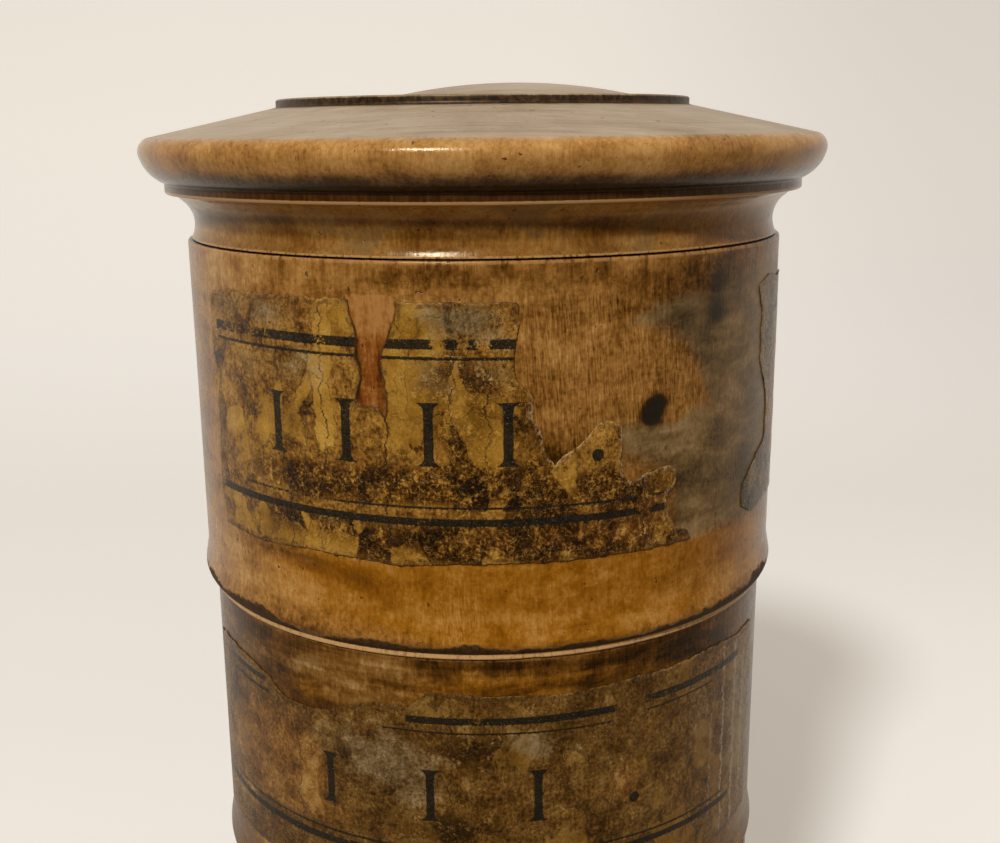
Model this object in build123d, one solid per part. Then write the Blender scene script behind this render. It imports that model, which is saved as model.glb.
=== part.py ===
from build123d import *
import math
import os

# A turned spice tower: four wooden cups that screw one onto another, under a moulded lid,
# each cup with a paper label pasted round its front.
# Millimetres, +Z up. The origin is at the centre of the ring that the tower stands on,
# and the labels face -Y.

# Cups: outside sizes
TOP_WALL_RADIUS = 41.0
LOWER_WALL_RADIUS = 40.0
TOP_TIER_HEIGHT = 47.6
MIDDLE_TIER_HEIGHT = 42.3
BOTTOM_TIER_HEIGHT = 47.8
SHOULDER_ROUND = 0.5

# Cups: inside sizes
BORE_RADIUS = 31.5
BORE_CORNER_ROUND = 3.0
FLOOR_THICKNESS = 5.0

# Bead and worn lip round the bottom edge of each cup
BEAD_HEIGHT = 4.2
BEAD_CREST_HEIGHT = 2.0
BEAD_PROUD = 0.4
LIP_HEIGHT = 0.8
LIP_INSET = 0.5

# Screwed spigot on top of each cup, and the socket that takes it
SPIGOT_RADIUS = 34.5
SPIGOT_HEIGHT = 9.0
SPIGOT_CHAMFER = 0.6
SOCKET_END_GAP = 1.0
SOCKET_MOUTH_CHAMFER = 0.6
THREAD_PITCH = 3.2
THREAD_DEPTH = 1.0
THREAD_ROOT_WIDTH = 2.4
THREAD_CREST_WIDTH = 0.8
THREAD_CLEARANCE = 0.2
THREAD_BITE = 0.3
THREAD_END_MARGIN = 0.3

# Moulded foot of the bottom cup
FOOT_RADIUS = 44.6
FOOT_TORUS_HEIGHT = 3.8
FOOT_TORUS_DEPTH = 1.6
FOOT_FILLET_RADIUS = 42.6
FOOT_FILLET_HEIGHT = 1.0
FOOT_COVE_HEIGHT = 3.8
FOOT_RECESS_RADIUS = 36.0
FOOT_RECESS_DEPTH = 1.5

# Lid, with heights measured up from the seam under it
LID_BASE_INSET = 0.6
LID_THROAT_RADIUS = 39.95
LID_THROAT_HEIGHT = 2.4
LID_COVE_TOP_RADIUS = 41.5
LID_COVE_TOP_HEIGHT = 5.25
LID_FILLET_RADIUS = 43.6
LID_FILLET_BASE_HEIGHT = 6.4
LID_FILLET_HEIGHT = 0.7
LID_RIM_RADIUS = 46.65
LID_RIM_HEIGHT = 11.2
LID_RIM_UNDERCUT_RADIUS = 45.4
LID_RIM_UNDERCUT_HEIGHT = 8.9
LID_NOSE_RADIUS = 46.3
LID_NOSE_HEIGHT = 12.5
LID_SHOULDER_RADIUS = 45.4
LID_SHOULDER_HEIGHT = 13.2
LID_DISC_RADIUS = 28.4
LID_DISC_BASE_HEIGHT = 17.0
LID_DISC_HEIGHT = 1.0
LID_DISC_EDGE_ROUND = 0.3
LID_CROWN_RADIUS = 18.0
LID_CROWN_HEIGHT = 2.1
LID_DISH_RADIUS = 28.0
LID_DISH_HEIGHT = 14.5
LID_DISH_CORNER_ROUND = 2.0

# Paper labels: angles run from the front, positive towards +X, and depths from the cup's shoulder
PAPER_THICKNESS = 0.15
PASTE_FILM = 0.02
TOP_LABEL_ANGLES = (-57.0, 38.0)
TOP_LABEL_DEPTHS = (4.5, 35.6)
SCRAP_ANGLES = (52.5, 84.0)
SCRAP_DEPTHS = (4.6, 35.2)
LOWER_LABEL_ANGLES = (-72.0, 66.0)
LOWER_LABEL_DEPTHS = (4.9, 33.4)
BOTTOM_LABEL_DEPTHS = (5.5, 34.0)
TEAR_REACH = 4.0

# Corners of the torn edges, as shares of a label's width from its left end and of its height
# from its upper edge
TOP_LABEL_MISSING_CORNER = [
    (0.655, 0.13), (0.646, 0.25), (0.678, 0.395), (0.703, 0.585), (0.716, 0.614), (0.757, 0.547),
    (0.792, 0.466), (0.837, 0.479), (0.835, 0.611), (0.859, 0.707), (0.952, 0.678), (0.935, 0.775),
    (0.937, 0.884), (0.985, 0.955), (1.05, 0.96),
]
TOP_LABEL_TORN_STRIP = [
    (0.364, 0.05), (0.38, 0.145), (0.386, 0.289), (0.374, 0.392), (0.408, 0.408), (0.419, 0.588),
    (0.427, 0.588), (0.43, 0.338), (0.421, 0.225), (0.448, 0.05),
]
SCRAP_OUTLINE = [
    (0.33, -0.1), (0.16, 0.03), (0.222, 0.16), (0.222, 0.356), (0.38, 0.536), (0.362, 0.712),
    (0.127, 0.797), (0.003, 0.928), (0.162, 1.1), (1.19, 1.1), (1.19, -0.1),
]
SECOND_LABEL_MISSING_CORNER = [
    (-0.03, 0.116), (0.087, 0.116), (0.188, 0.214), (0.261, 0.2), (0.326, 0.13), (0.417, 0.07),
    (0.443, 0.0),
]

SOCKET_RADIUS = SPIGOT_RADIUS + THREAD_DEPTH + THREAD_CLEARANCE
SOCKET_DEPTH = SPIGOT_HEIGHT + SOCKET_END_GAP
LID_SEAM_RADIUS = TOP_WALL_RADIUS - LID_BASE_INSET


def at(r, z):
    """A point of a turned outline: a radius and a height, in the XZ plane."""
    return Vector(r, 0, z)


def turned(*edges):
    """The solid that a closed outline leaves when it is turned about the Z axis."""
    outline = Face(Wire(list(edges)))
    return revolve(outline, Axis.Z)


def lines(*points):
    """Straight edges through points, in order."""
    return [Edge.make_line(a, b) for a, b in zip(points, points[1:])]


def thread_ridge(core_radius, height_from, height_to, phase, outward=True):
    """A right-hand helical ridge that stands on a round core, or inside a round bore.

    Its middle line rises from height_from to height_to, and starts at the angle phase.
    """
    away = 1 if outward else -1
    flank = (THREAD_ROOT_WIDTH - THREAD_CREST_WIDTH) / 2 / THREAD_DEPTH
    root_radius = core_radius - away * THREAD_BITE
    root_half = THREAD_ROOT_WIDTH / 2 + flank * THREAD_BITE
    crest_radius = core_radius + away * THREAD_DEPTH
    crest_half = THREAD_CREST_WIDTH / 2

    def helix(radius, offset):
        edge = Edge.make_helix(THREAD_PITCH, height_to - height_from, radius)
        return edge.moved(Location((0, 0, height_from + offset), (0, 0, phase)))

    corners = [
        helix(root_radius, -root_half), helix(crest_radius, -crest_half),
        helix(crest_radius, crest_half), helix(root_radius, root_half),
    ]
    faces = [
        Face.make_surface_from_curves(edge, corners[(i + 1) % 4])
        for i, edge in enumerate(corners)
    ]
    for end in (0, 1):
        faces.append(Face(Wire.make_polygon([edge.position_at(end) for edge in corners], close=True)))
    return Solid(Shell(faces))


def thread_margin():
    """How far the middle line of a thread stays from each end of its spigot."""
    flank = (THREAD_ROOT_WIDTH - THREAD_CREST_WIDTH) / 2 / THREAD_DEPTH
    return THREAD_ROOT_WIDTH / 2 + flank * THREAD_BITE + THREAD_END_MARGIN


def spigot_thread(shoulder):
    """The thread outside a spigot that stands on a shoulder."""
    low = shoulder + thread_margin()
    high = shoulder + SPIGOT_HEIGHT - thread_margin()
    return thread_ridge(SPIGOT_RADIUS, low, high, 0)


def socket_thread():
    """The thread inside a socket, half a turn round from the spigot's, so that the two mesh."""
    low = thread_margin()
    high = SPIGOT_HEIGHT - thread_margin()
    return thread_ridge(SOCKET_RADIUS, low, high, 180, outward=False)


def socket_hollow():
    """The plain round hollow of a socket, with an eased mouth."""
    mouth = SOCKET_RADIUS + SOCKET_MOUTH_CHAMFER
    return turned(*lines(
        at(0, 0), at(mouth, 0), at(SOCKET_RADIUS, SOCKET_MOUTH_CHAMFER),
        at(SOCKET_RADIUS, SOCKET_DEPTH), at(0, SOCKET_DEPTH), at(0, 0),
    ))


def bore_hollow(floor, mouth):
    """The round inside of a cup, with a rounded corner at its floor."""
    r = BORE_RADIUS
    c = BORE_CORNER_ROUND
    middle = c * (1 - math.sqrt(0.5))
    return turned(
        *lines(at(0, floor), at(r - c, floor)),
        Edge.make_three_point_arc(at(r - c, floor), at(r - middle, floor + middle), at(r, floor + c)),
        *lines(at(r, floor + c), at(r, mouth), at(0, mouth), at(0, floor)),
    )


def bead_edges(wall):
    """A cup's bottom edge, from its base up to its wall: the lip, then the bead."""
    base = at(wall - LIP_INSET, 0)
    lip = at(wall - LIP_INSET, LIP_HEIGHT)
    crest = at(wall + BEAD_PROUD, BEAD_CREST_HEIGHT)
    top = at(wall, BEAD_HEIGHT)
    return base, [Edge.make_line(base, lip), Edge.make_three_point_arc(lip, crest, top)], top


def foot_edges(wall):
    """The bottom cup's moulded foot, from the floor up to its wall: torus, fillet and cove."""
    base = at(FOOT_RADIUS - FOOT_TORUS_DEPTH, 0)
    swell = at(FOOT_RADIUS, FOOT_TORUS_HEIGHT / 2)
    torus_top = at(FOOT_RADIUS - FOOT_TORUS_DEPTH, FOOT_TORUS_HEIGHT)
    fillet_base = at(FOOT_FILLET_RADIUS, FOOT_TORUS_HEIGHT)
    fillet_top = at(FOOT_FILLET_RADIUS, FOOT_TORUS_HEIGHT + FOOT_FILLET_HEIGHT)
    cove_top = at(wall, FOOT_TORUS_HEIGHT + FOOT_FILLET_HEIGHT + FOOT_COVE_HEIGHT)
    spread = FOOT_FILLET_RADIUS - wall
    hollow = 1 - math.sqrt(0.5)
    cove_middle = at(wall + spread * hollow, cove_top.Z - FOOT_COVE_HEIGHT * math.sqrt(0.5))
    edges = [
        Edge.make_three_point_arc(base, swell, torus_top),
        *lines(torus_top, fillet_base, fillet_top),
        Edge.make_three_point_arc(fillet_top, cove_middle, cove_top),
    ]
    return base, edges, cove_top


def cup(wall, height, lower_edge, floor):
    """A cup's solid wood: its lower edge, wall, shoulder and spigot, hollowed from the top."""
    base, edges, wall_foot = lower_edge
    eased = SHOULDER_ROUND * (1 - math.sqrt(0.5))
    wall_top = at(wall, height - SHOULDER_ROUND)
    shoulder_middle = at(wall - eased, height - eased)
    shoulder = at(wall - SHOULDER_ROUND, height)
    spigot_top = height + SPIGOT_HEIGHT
    body = turned(
        Edge.make_line(at(0, 0), base),
        *edges,
        Edge.make_line(wall_foot, wall_top),
        Edge.make_three_point_arc(wall_top, shoulder_middle, shoulder),
        *lines(
            shoulder, at(SPIGOT_RADIUS, height),
            at(SPIGOT_RADIUS, spigot_top - SPIGOT_CHAMFER), at(SPIGOT_RADIUS - SPIGOT_CHAMFER, spigot_top),
            at(0, spigot_top), at(0, 0),
        ),
    )
    return body + spigot_thread(height) - bore_hollow(floor, spigot_top)


def tier(wall, height):
    """A cup that screws onto the one below it."""
    wood = cup(wall, height, bead_edges(wall), SOCKET_DEPTH + FLOOR_THICKNESS)
    return wood - socket_hollow() + socket_thread()


def bottom_tier(wall, height):
    """The cup that the tower stands on: a moulded foot, hollowed a little under its floor."""
    wood = cup(wall, height, foot_edges(wall), FOOT_RECESS_DEPTH + FLOOR_THICKNESS)
    recess = Cylinder(FOOT_RECESS_RADIUS, FOOT_RECESS_DEPTH, align=(Align.CENTER, Align.CENTER, Align.MIN))
    return wood - recess


def lid():
    """The moulded cap: cove, fillet and rim below a shallow cone, with a raised disc and low crown."""
    seam = at(LID_SEAM_RADIUS, 0)
    throat = at(LID_THROAT_RADIUS, LID_THROAT_HEIGHT)
    cove_top = at(LID_COVE_TOP_RADIUS, LID_COVE_TOP_HEIGHT)
    fillet_base = at(LID_FILLET_RADIUS, LID_FILLET_BASE_HEIGHT)
    fillet_top = at(LID_FILLET_RADIUS, LID_FILLET_BASE_HEIGHT + LID_FILLET_HEIGHT)
    undercut = at(LID_RIM_UNDERCUT_RADIUS, LID_RIM_UNDERCUT_HEIGHT)
    rim = at(LID_RIM_RADIUS, LID_RIM_HEIGHT)
    nose = at(LID_NOSE_RADIUS, LID_NOSE_HEIGHT)
    shoulder = at(LID_SHOULDER_RADIUS, LID_SHOULDER_HEIGHT)
    disc_base = at(LID_DISC_RADIUS, LID_DISC_BASE_HEIGHT)
    disc_top = LID_DISC_BASE_HEIGHT + LID_DISC_HEIGHT
    eased = LID_DISC_EDGE_ROUND
    edge_low = at(LID_DISC_RADIUS, disc_top - eased)
    edge_high = at(LID_DISC_RADIUS - eased, disc_top)
    crown_edge = at(LID_CROWN_RADIUS, disc_top)
    crown_sphere = (LID_CROWN_RADIUS**2 + LID_CROWN_HEIGHT**2) / (2 * LID_CROWN_HEIGHT)
    crown_drop = crown_sphere - math.sqrt(crown_sphere**2 - (LID_CROWN_RADIUS / 2) ** 2)
    crown_top = at(0, disc_top + LID_CROWN_HEIGHT)
    crown_middle = at(LID_CROWN_RADIUS / 2, crown_top.Z - crown_drop)
    wood = turned(
        Edge.make_line(at(0, 0), seam),
        Edge.make_three_point_arc(seam, throat, cove_top),
        *lines(cove_top, fillet_base, fillet_top),
        Edge.make_three_point_arc(fillet_top, undercut, rim),
        Edge.make_three_point_arc(rim, nose, shoulder),
        *lines(shoulder, disc_base, edge_low, edge_high, crown_edge),
        Edge.make_three_point_arc(crown_edge, crown_middle, crown_top),
        Edge.make_line(crown_top, at(0, 0)),
    )
    r = LID_DISH_RADIUS
    c = LID_DISH_CORNER_ROUND
    corner = c * (1 - math.sqrt(0.5))
    dish = turned(
        *lines(at(0, LID_DISH_HEIGHT), at(0, 0), at(r, 0), at(r, LID_DISH_HEIGHT - c)),
        Edge.make_three_point_arc(
            at(r, LID_DISH_HEIGHT - c), at(r - corner, LID_DISH_HEIGHT - corner), at(r - c, LID_DISH_HEIGHT)
        ),
        Edge.make_line(at(r - c, LID_DISH_HEIGHT), at(0, LID_DISH_HEIGHT)),
    )
    return wood - dish - socket_hollow() + socket_thread()


def paper(wall, shoulder, angles, depths):
    """A rectangle of paper pasted round a cup's wall."""
    inner = wall + PASTE_FILM
    outer = inner + PAPER_THICKNESS
    low = shoulder - depths[1]
    high = shoulder - depths[0]
    corners = [at(inner, low), at(outer, low), at(outer, high), at(inner, high)]
    section = Face(Wire.make_polygon(corners, close=True))
    start = section.rotate(Axis.Z, angles[0] - 90)
    return revolve(start, Axis.Z, revolution_arc=angles[1] - angles[0])


def on_label(angles, depths, shares):
    """Corners given as shares of a label's width and height, as angles and depths."""
    width = angles[1] - angles[0]
    height = depths[1] - depths[0]
    return [(angles[0] + width * across, depths[0] + height * down) for across, down in shares]


def tear(wall, shoulder, outline):
    """A tool that cuts straight in from the front along a torn outline."""
    corners = [
        Vector(wall * math.sin(math.radians(angle)), 0, shoulder - depth)
        for angle, depth in outline
    ]
    face = Face(Wire.make_polygon(corners, close=True))
    return extrude(face, amount=wall + TEAR_REACH, dir=(0, -1, 0))


def tear_from_above(wall, shoulder, torn_edge, paper_top):
    """A tool that cuts away all the paper above a torn edge."""
    over = paper_top - TEAR_REACH
    outline = [(torn_edge[0][0], over), *torn_edge, (torn_edge[-1][0], over)]
    return tear(wall, shoulder, outline)


def top_label(wall, shoulder):
    """The top cup's label, with its upper right corner gone and a strip torn out of its heading."""
    whole = paper(wall, shoulder, TOP_LABEL_ANGLES, TOP_LABEL_DEPTHS)
    for shares in (TOP_LABEL_MISSING_CORNER, TOP_LABEL_TORN_STRIP):
        torn_edge = on_label(TOP_LABEL_ANGLES, TOP_LABEL_DEPTHS, shares)
        whole -= tear_from_above(wall, shoulder, torn_edge, TOP_LABEL_DEPTHS[0])
    return whole


def label_scrap(wall, shoulder):
    """What is left of the far end of the top cup's label."""
    whole = paper(wall, shoulder, SCRAP_ANGLES, SCRAP_DEPTHS)
    return whole & tear(wall, shoulder, on_label(SCRAP_ANGLES, SCRAP_DEPTHS, SCRAP_OUTLINE))


def second_label(wall, shoulder):
    """The second cup's label, with its upper left corner torn away."""
    whole = paper(wall, shoulder, LOWER_LABEL_ANGLES, LOWER_LABEL_DEPTHS)
    torn_edge = on_label(LOWER_LABEL_ANGLES, LOWER_LABEL_DEPTHS, SECOND_LABEL_MISSING_CORNER)
    return whole - tear_from_above(wall, shoulder, torn_edge, LOWER_LABEL_DEPTHS[0])


third_base = BOTTOM_TIER_HEIGHT
second_base = third_base + MIDDLE_TIER_HEIGHT
top_base = second_base + MIDDLE_TIER_HEIGHT
lid_base = top_base + TOP_TIER_HEIGHT

parts = {
    "bottom_tier": bottom_tier(LOWER_WALL_RADIUS, BOTTOM_TIER_HEIGHT),
    "third_tier": Pos(0, 0, third_base) * tier(LOWER_WALL_RADIUS, MIDDLE_TIER_HEIGHT),
    "second_tier": Pos(0, 0, second_base) * tier(LOWER_WALL_RADIUS, MIDDLE_TIER_HEIGHT),
    "top_tier": Pos(0, 0, top_base) * tier(TOP_WALL_RADIUS, TOP_TIER_HEIGHT),
    "lid": Pos(0, 0, lid_base) * lid(),
    "bottom_label": paper(LOWER_WALL_RADIUS, third_base, LOWER_LABEL_ANGLES, BOTTOM_LABEL_DEPTHS),
    "third_label": paper(LOWER_WALL_RADIUS, second_base, LOWER_LABEL_ANGLES, LOWER_LABEL_DEPTHS),
    "second_label": second_label(LOWER_WALL_RADIUS, top_base),
    "top_label": top_label(TOP_WALL_RADIUS, lid_base),
    "top_label_scrap": label_scrap(TOP_WALL_RADIUS, lid_base),
}

os.makedirs("parts", exist_ok=True)
for name, shape in parts.items():
    export_step(shape, f"parts/{name}.step")
    print(name, len(shape.solids()), "solid", round(shape.volume, 1), "mm3")
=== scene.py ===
import math

import bpy
import numpy as np
from mathutils import Euler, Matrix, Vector, noise
from mathutils.bvhtree import BVHTree


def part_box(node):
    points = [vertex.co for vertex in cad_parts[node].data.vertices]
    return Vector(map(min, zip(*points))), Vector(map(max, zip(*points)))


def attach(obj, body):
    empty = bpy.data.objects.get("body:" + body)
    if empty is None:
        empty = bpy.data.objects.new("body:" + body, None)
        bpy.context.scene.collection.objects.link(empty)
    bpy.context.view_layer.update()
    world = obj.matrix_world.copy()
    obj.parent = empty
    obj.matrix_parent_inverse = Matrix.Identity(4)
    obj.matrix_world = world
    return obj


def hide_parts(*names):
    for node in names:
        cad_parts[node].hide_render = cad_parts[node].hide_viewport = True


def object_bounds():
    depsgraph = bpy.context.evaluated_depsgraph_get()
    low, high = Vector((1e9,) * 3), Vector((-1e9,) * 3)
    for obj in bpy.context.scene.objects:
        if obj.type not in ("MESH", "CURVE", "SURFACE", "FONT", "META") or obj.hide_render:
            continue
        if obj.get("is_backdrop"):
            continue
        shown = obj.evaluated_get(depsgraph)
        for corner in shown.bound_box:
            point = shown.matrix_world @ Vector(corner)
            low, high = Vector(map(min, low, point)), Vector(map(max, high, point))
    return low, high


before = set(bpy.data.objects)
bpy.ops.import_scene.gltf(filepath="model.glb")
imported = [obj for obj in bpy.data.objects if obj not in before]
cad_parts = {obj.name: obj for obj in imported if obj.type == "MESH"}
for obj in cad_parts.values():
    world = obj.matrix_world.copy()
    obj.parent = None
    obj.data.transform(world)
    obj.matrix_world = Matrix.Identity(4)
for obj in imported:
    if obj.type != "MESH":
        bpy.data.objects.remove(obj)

cad_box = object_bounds()


# The camera: a phone held a hand's length from the tower, level with the lid's rim and tipped
# down, so that it frames the lid and the upper two cups. Its lens and place are worked out
# from the curves of the rim, the seam and the bead.
def put(name, data):
    """A new object in the scene."""
    thing = bpy.data.objects.new(name, data)
    bpy.context.scene.collection.objects.link(thing)
    return thing


mm = 0.001
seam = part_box("lid")[0].z
camera_distance = 173.2 * mm
camera_above_seam = 14.2 * mm
pitch_down = math.radians(13.75)
turn_right = math.radians(0.65)
roll_left = math.radians(-0.52)
image_width_px = 1000
lens_px = 1204
camera_data = bpy.data.cameras.new("camera")
camera_data.sensor_width = 36
camera_data.lens = camera_data.sensor_width * lens_px / image_width_px
camera_data.clip_start = 0.01
camera = put("camera", camera_data)
camera.location = (0, -camera_distance, seam + camera_above_seam)
aim = Euler((math.pi / 2 - pitch_down, 0, -turn_right)).to_matrix()
camera.rotation_euler = (aim @ Euler((0, 0, roll_left)).to_matrix()).to_euler()
bpy.context.scene.camera = camera
bpy.context.scene.view_settings.view_transform = "Standard"


# The floor and backdrop: one sheet of cream paper that lies under the tower and sweeps up
# behind it, lit by a window lamp high on the left and by the soft light of the room.
class Socket:
    """A socket of a node tree that takes part in sums: each operator adds a Math node."""

    def __init__(self, tree, socket):
        self.tree = tree
        self.socket = socket

    def maths(self, operation, first, second):
        return self.tree.node("ShaderNodeMath", {0: first, 1: second}, operation=operation)

    def __abs__(self):
        return self.maths("ABSOLUTE", self, 0)

    def __round__(self):
        return self.maths("ROUND", self, 0)

    def least(self, other):
        return self.maths("MINIMUM", self, other)

    def most(self, other):
        return self.maths("MAXIMUM", self, other)

    def sway(self, reach):
        """Noise that ran from 0 to 1, now swinging about nought by a reach."""
        return (self - 0.5) * reach

    def rise(self, low, high):
        """0 below low and 1 above high, with a smooth step between."""
        ends = {"Value": self, "From Min": low, "From Max": high}
        return self.tree.node("ShaderNodeMapRange", ends, interpolation_type="SMOOTHSTEP")

    def band(self, low, high, soft):
        """1 between low and high, fading to 0 outside over soft."""
        return self.rise(low - soft, low + soft) * (1 - self.rise(high - soft, high + soft))


def operator(operation, reflected=False):
    """One of Python's operators for a Socket, which adds a Math node."""
    if reflected:
        return lambda self, other: self.maths(operation, other, self)
    return lambda self, other: self.maths(operation, self, other)


for name, operation in (("add", "ADD"), ("sub", "SUBTRACT"), ("mul", "MULTIPLY")):
    setattr(Socket, f"__{name}__", operator(operation))
    setattr(Socket, f"__r{name}__", operator(operation, reflected=True))
for name, operation in (("truediv", "DIVIDE"), ("pow", "POWER"), ("mod", "FLOORED_MODULO")):
    setattr(Socket, f"__{name}__", operator(operation))


class Tree:
    """A node tree being written, of a material or of geometry."""

    def __init__(self, tree):
        self.tree = tree
        tree.nodes.clear()

    def node(self, kind, links=None, out=0, stops=None, **settings):
        """Adds a node: first its settings, then a ramp's stops, then its sockets' values or links."""
        node = self.tree.nodes.new(kind)
        for name, value in settings.items():
            setattr(node, name, value)
        if stops:
            while len(node.color_ramp.elements) < len(stops):
                node.color_ramp.elements.new(1)
            for element, (place, colour) in zip(node.color_ramp.elements, stops):
                element.position = place
                element.color = (*colour, 1)
        for key, value in (links or {}).items():
            if isinstance(value, Socket):
                self.tree.links.new(value.socket, node.inputs[key])
            elif isinstance(value, tuple) and node.inputs[key].type == "RGBA":
                node.inputs[key].default_value = (*value, 1)
            else:
                node.inputs[key].default_value = value
        return Socket(self, node.outputs[out]) if node.outputs else None

    def blend(self, share, first, second):
        """The first colour, turned into the second by a share from 0 to 1."""
        links = {0: share, 6: first, 7: second}
        return self.node("ShaderNodeMix", links, out=2, data_type="RGBA", clamp_factor=True)

    def darken(self, share, colour, shade):
        """A colour multiplied by a shade, by a share from 0 to 1."""
        links = {0: share, 6: colour, 7: shade}
        return self.node("ShaderNodeMix", links, out=2, data_type="RGBA", blend_type="MULTIPLY")

    def ramp(self, share, *stops):
        """The colour that runs through stops of (place, colour) as a share goes from 0 to 1."""
        return self.node("ShaderNodeValToRGB", {0: share}, stops=stops)

    def painted(self, name):
        """A number painted on the mesh beforehand."""
        return self.node("ShaderNodeAttribute", out="Fac", attribute_name=name)

    def vectors(self, operation, *values):
        """A sum on vectors."""
        return self.node("ShaderNodeVectorMath", dict(enumerate(values)), operation=operation)

    def split(self, vector):
        """The x, y and z of a vector."""
        parts = self.node("ShaderNodeSeparateXYZ", {0: vector}).socket.node.outputs
        return [Socket(self, part) for part in parts]

    def millimetres(self):
        """The place on the object, in millimetres."""
        place = self.node("ShaderNodeTexCoord", out="Object")
        return self.vectors("MULTIPLY", place, (1000, 1000, 1000))

    def cloud(self, place, size, detail=3, rough=0.55, twist=0, colour=False):
        """Noise with blotches of a size in millimetres: one number, or one for each axis."""
        sizes = size if isinstance(size, tuple) else (size, size, size)
        scaled = self.vectors("DIVIDE", place, sizes)
        links = {"Vector": scaled, "Scale": 1, "Detail": detail, "Roughness": rough, "Distortion": twist}
        return self.node("ShaderNodeTexNoise", links, out="Color" if colour else 0)


def new_material(name):
    """A new material, and its empty tree."""
    material = bpy.data.materials.new(name)
    material.use_nodes = True
    return material, Tree(material.node_tree)


def seen_directly(tree, behind):
    """1 for what the camera sees, also in a gloss or through glass, and 0 for the light that falls.

    The room in front of the tower is dim, so a gloss shows only what lies behind it.
    """
    rays = ("Is Camera Ray", "Is Glossy Ray", "Is Transmission Ray")
    camera_ray, glossy, through = (tree.node("ShaderNodeLightPath", out=ray) for ray in rays)
    return (camera_ray + glossy * behind + through).least(1)


sheet_half_width = 2.2
sheet_front = -1.6
sweep_start = 0.45
sweep_radius = 0.9
sweep_steps = 16
sheet_height = 2.1
outline = [(sheet_front, 0), (sweep_start, 0)]
for step in range(1, sweep_steps + 1):
    angle = math.radians(90 * step / sweep_steps)
    outline.append((sweep_start + sweep_radius * math.sin(angle), sweep_radius * (1 - math.cos(angle))))
outline.append((sweep_start + sweep_radius, sheet_height))
mesh = bpy.data.meshes.new("backdrop")
corners = [(side * sheet_half_width, y, z) for y, z in outline for side in (-1, 1)]
faces = [(2 * i, 2 * i + 1, 2 * i + 3, 2 * i + 2) for i in range(len(outline) - 1)]
mesh.from_pydata(corners, [], faces)
mesh.shade_smooth()
backdrop = put("backdrop", mesh)
backdrop_paper, tree = new_material("backdrop_paper")
x, y, _ = tree.split(tree.node("ShaderNodeTexCoord", out="Object"))
seen = seen_directly(tree, y.rise(-0.1, 0.4))
glow = tree.ramp(y, (0.2, (0.108, 0.106, 0.104)), (0.7, (0.236, 0.236, 0.232)), (1, (0.29, 0.27, 0.248)))
# The glow is painted darker towards the upper right, a painted shade on the wall, and lighter at the lower
# right, a painted pool of light.
glow = tree.darken(x.rise(0.05, 0.45) * y.rise(0.35, 0.8), glow, (0.66, 0.66, 0.7))
glow = tree.blend(x.rise(0.02, 0.2) * (1 - y.rise(0.25, 0.6)), glow, (0.165, 0.16, 0.155))
unlit = tree.blend(y.rise(-0.45, 0.15), (0.05, 0.045, 0.04), (0.42, 0.35, 0.27))
# The sheet is painted darker in front of the tower, a painted shade of the dim room there.
paper_colour = tree.blend(y.rise(-0.6, 0.02), (0.42, 0.4, 0.37), (0.87, 0.87, 0.86))
links = {
    "Base Color": tree.blend(seen, unlit, paper_colour), "Roughness": 0.9, "Specular IOR Level": 0.1,
    "Emission Color": tree.blend(seen, (0, 0, 0), glow), "Emission Strength": 1.0,
}
tree.node("ShaderNodeOutputMaterial", {"Surface": tree.node("ShaderNodeBsdfPrincipled", links)})
mesh.materials.append(backdrop_paper)
backdrop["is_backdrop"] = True

window_light = bpy.data.lights.new("window_light", "AREA")
window_light.shape = "DISK"
window_light.size = 0.17
window_light.energy = 16.6
window_light.color = (1.0, 0.985, 0.965)
window = put("window_light", window_light)
window.location = (-0.38, -1.05, 1.0)
lamp_aim = Vector((0, 0, 0.14))
window.rotation_euler = (lamp_aim - window.location).to_track_quat("-Z", "Y").to_euler()
world = bpy.data.worlds.new("room")
world.use_nodes = True
room = Tree(world.node_tree)
x, y, z = room.split(room.node("ShaderNodeTexCoord", out="Generated"))
overhead = z.rise(-0.1, 0.9)
behind = y.rise(-0.3, 0.8)
beside = x.rise(0.1, 0.9)
brightness = 0.1 + overhead * 0.5 + behind * 0.3 + beside * 0.45
room_light = room.ramp(brightness, (0, (0.05, 0.04, 0.03)), (1, (0.74, 0.64, 0.52)))
room_light = room.blend(seen_directly(room, behind), room_light, (0.8, 0.74, 0.66))
shining = room.node("ShaderNodeBackground", {"Color": room_light, "Strength": 1.0})
room.node("ShaderNodeOutputWorld", {"Surface": shining})
bpy.context.scene.world = world


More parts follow.
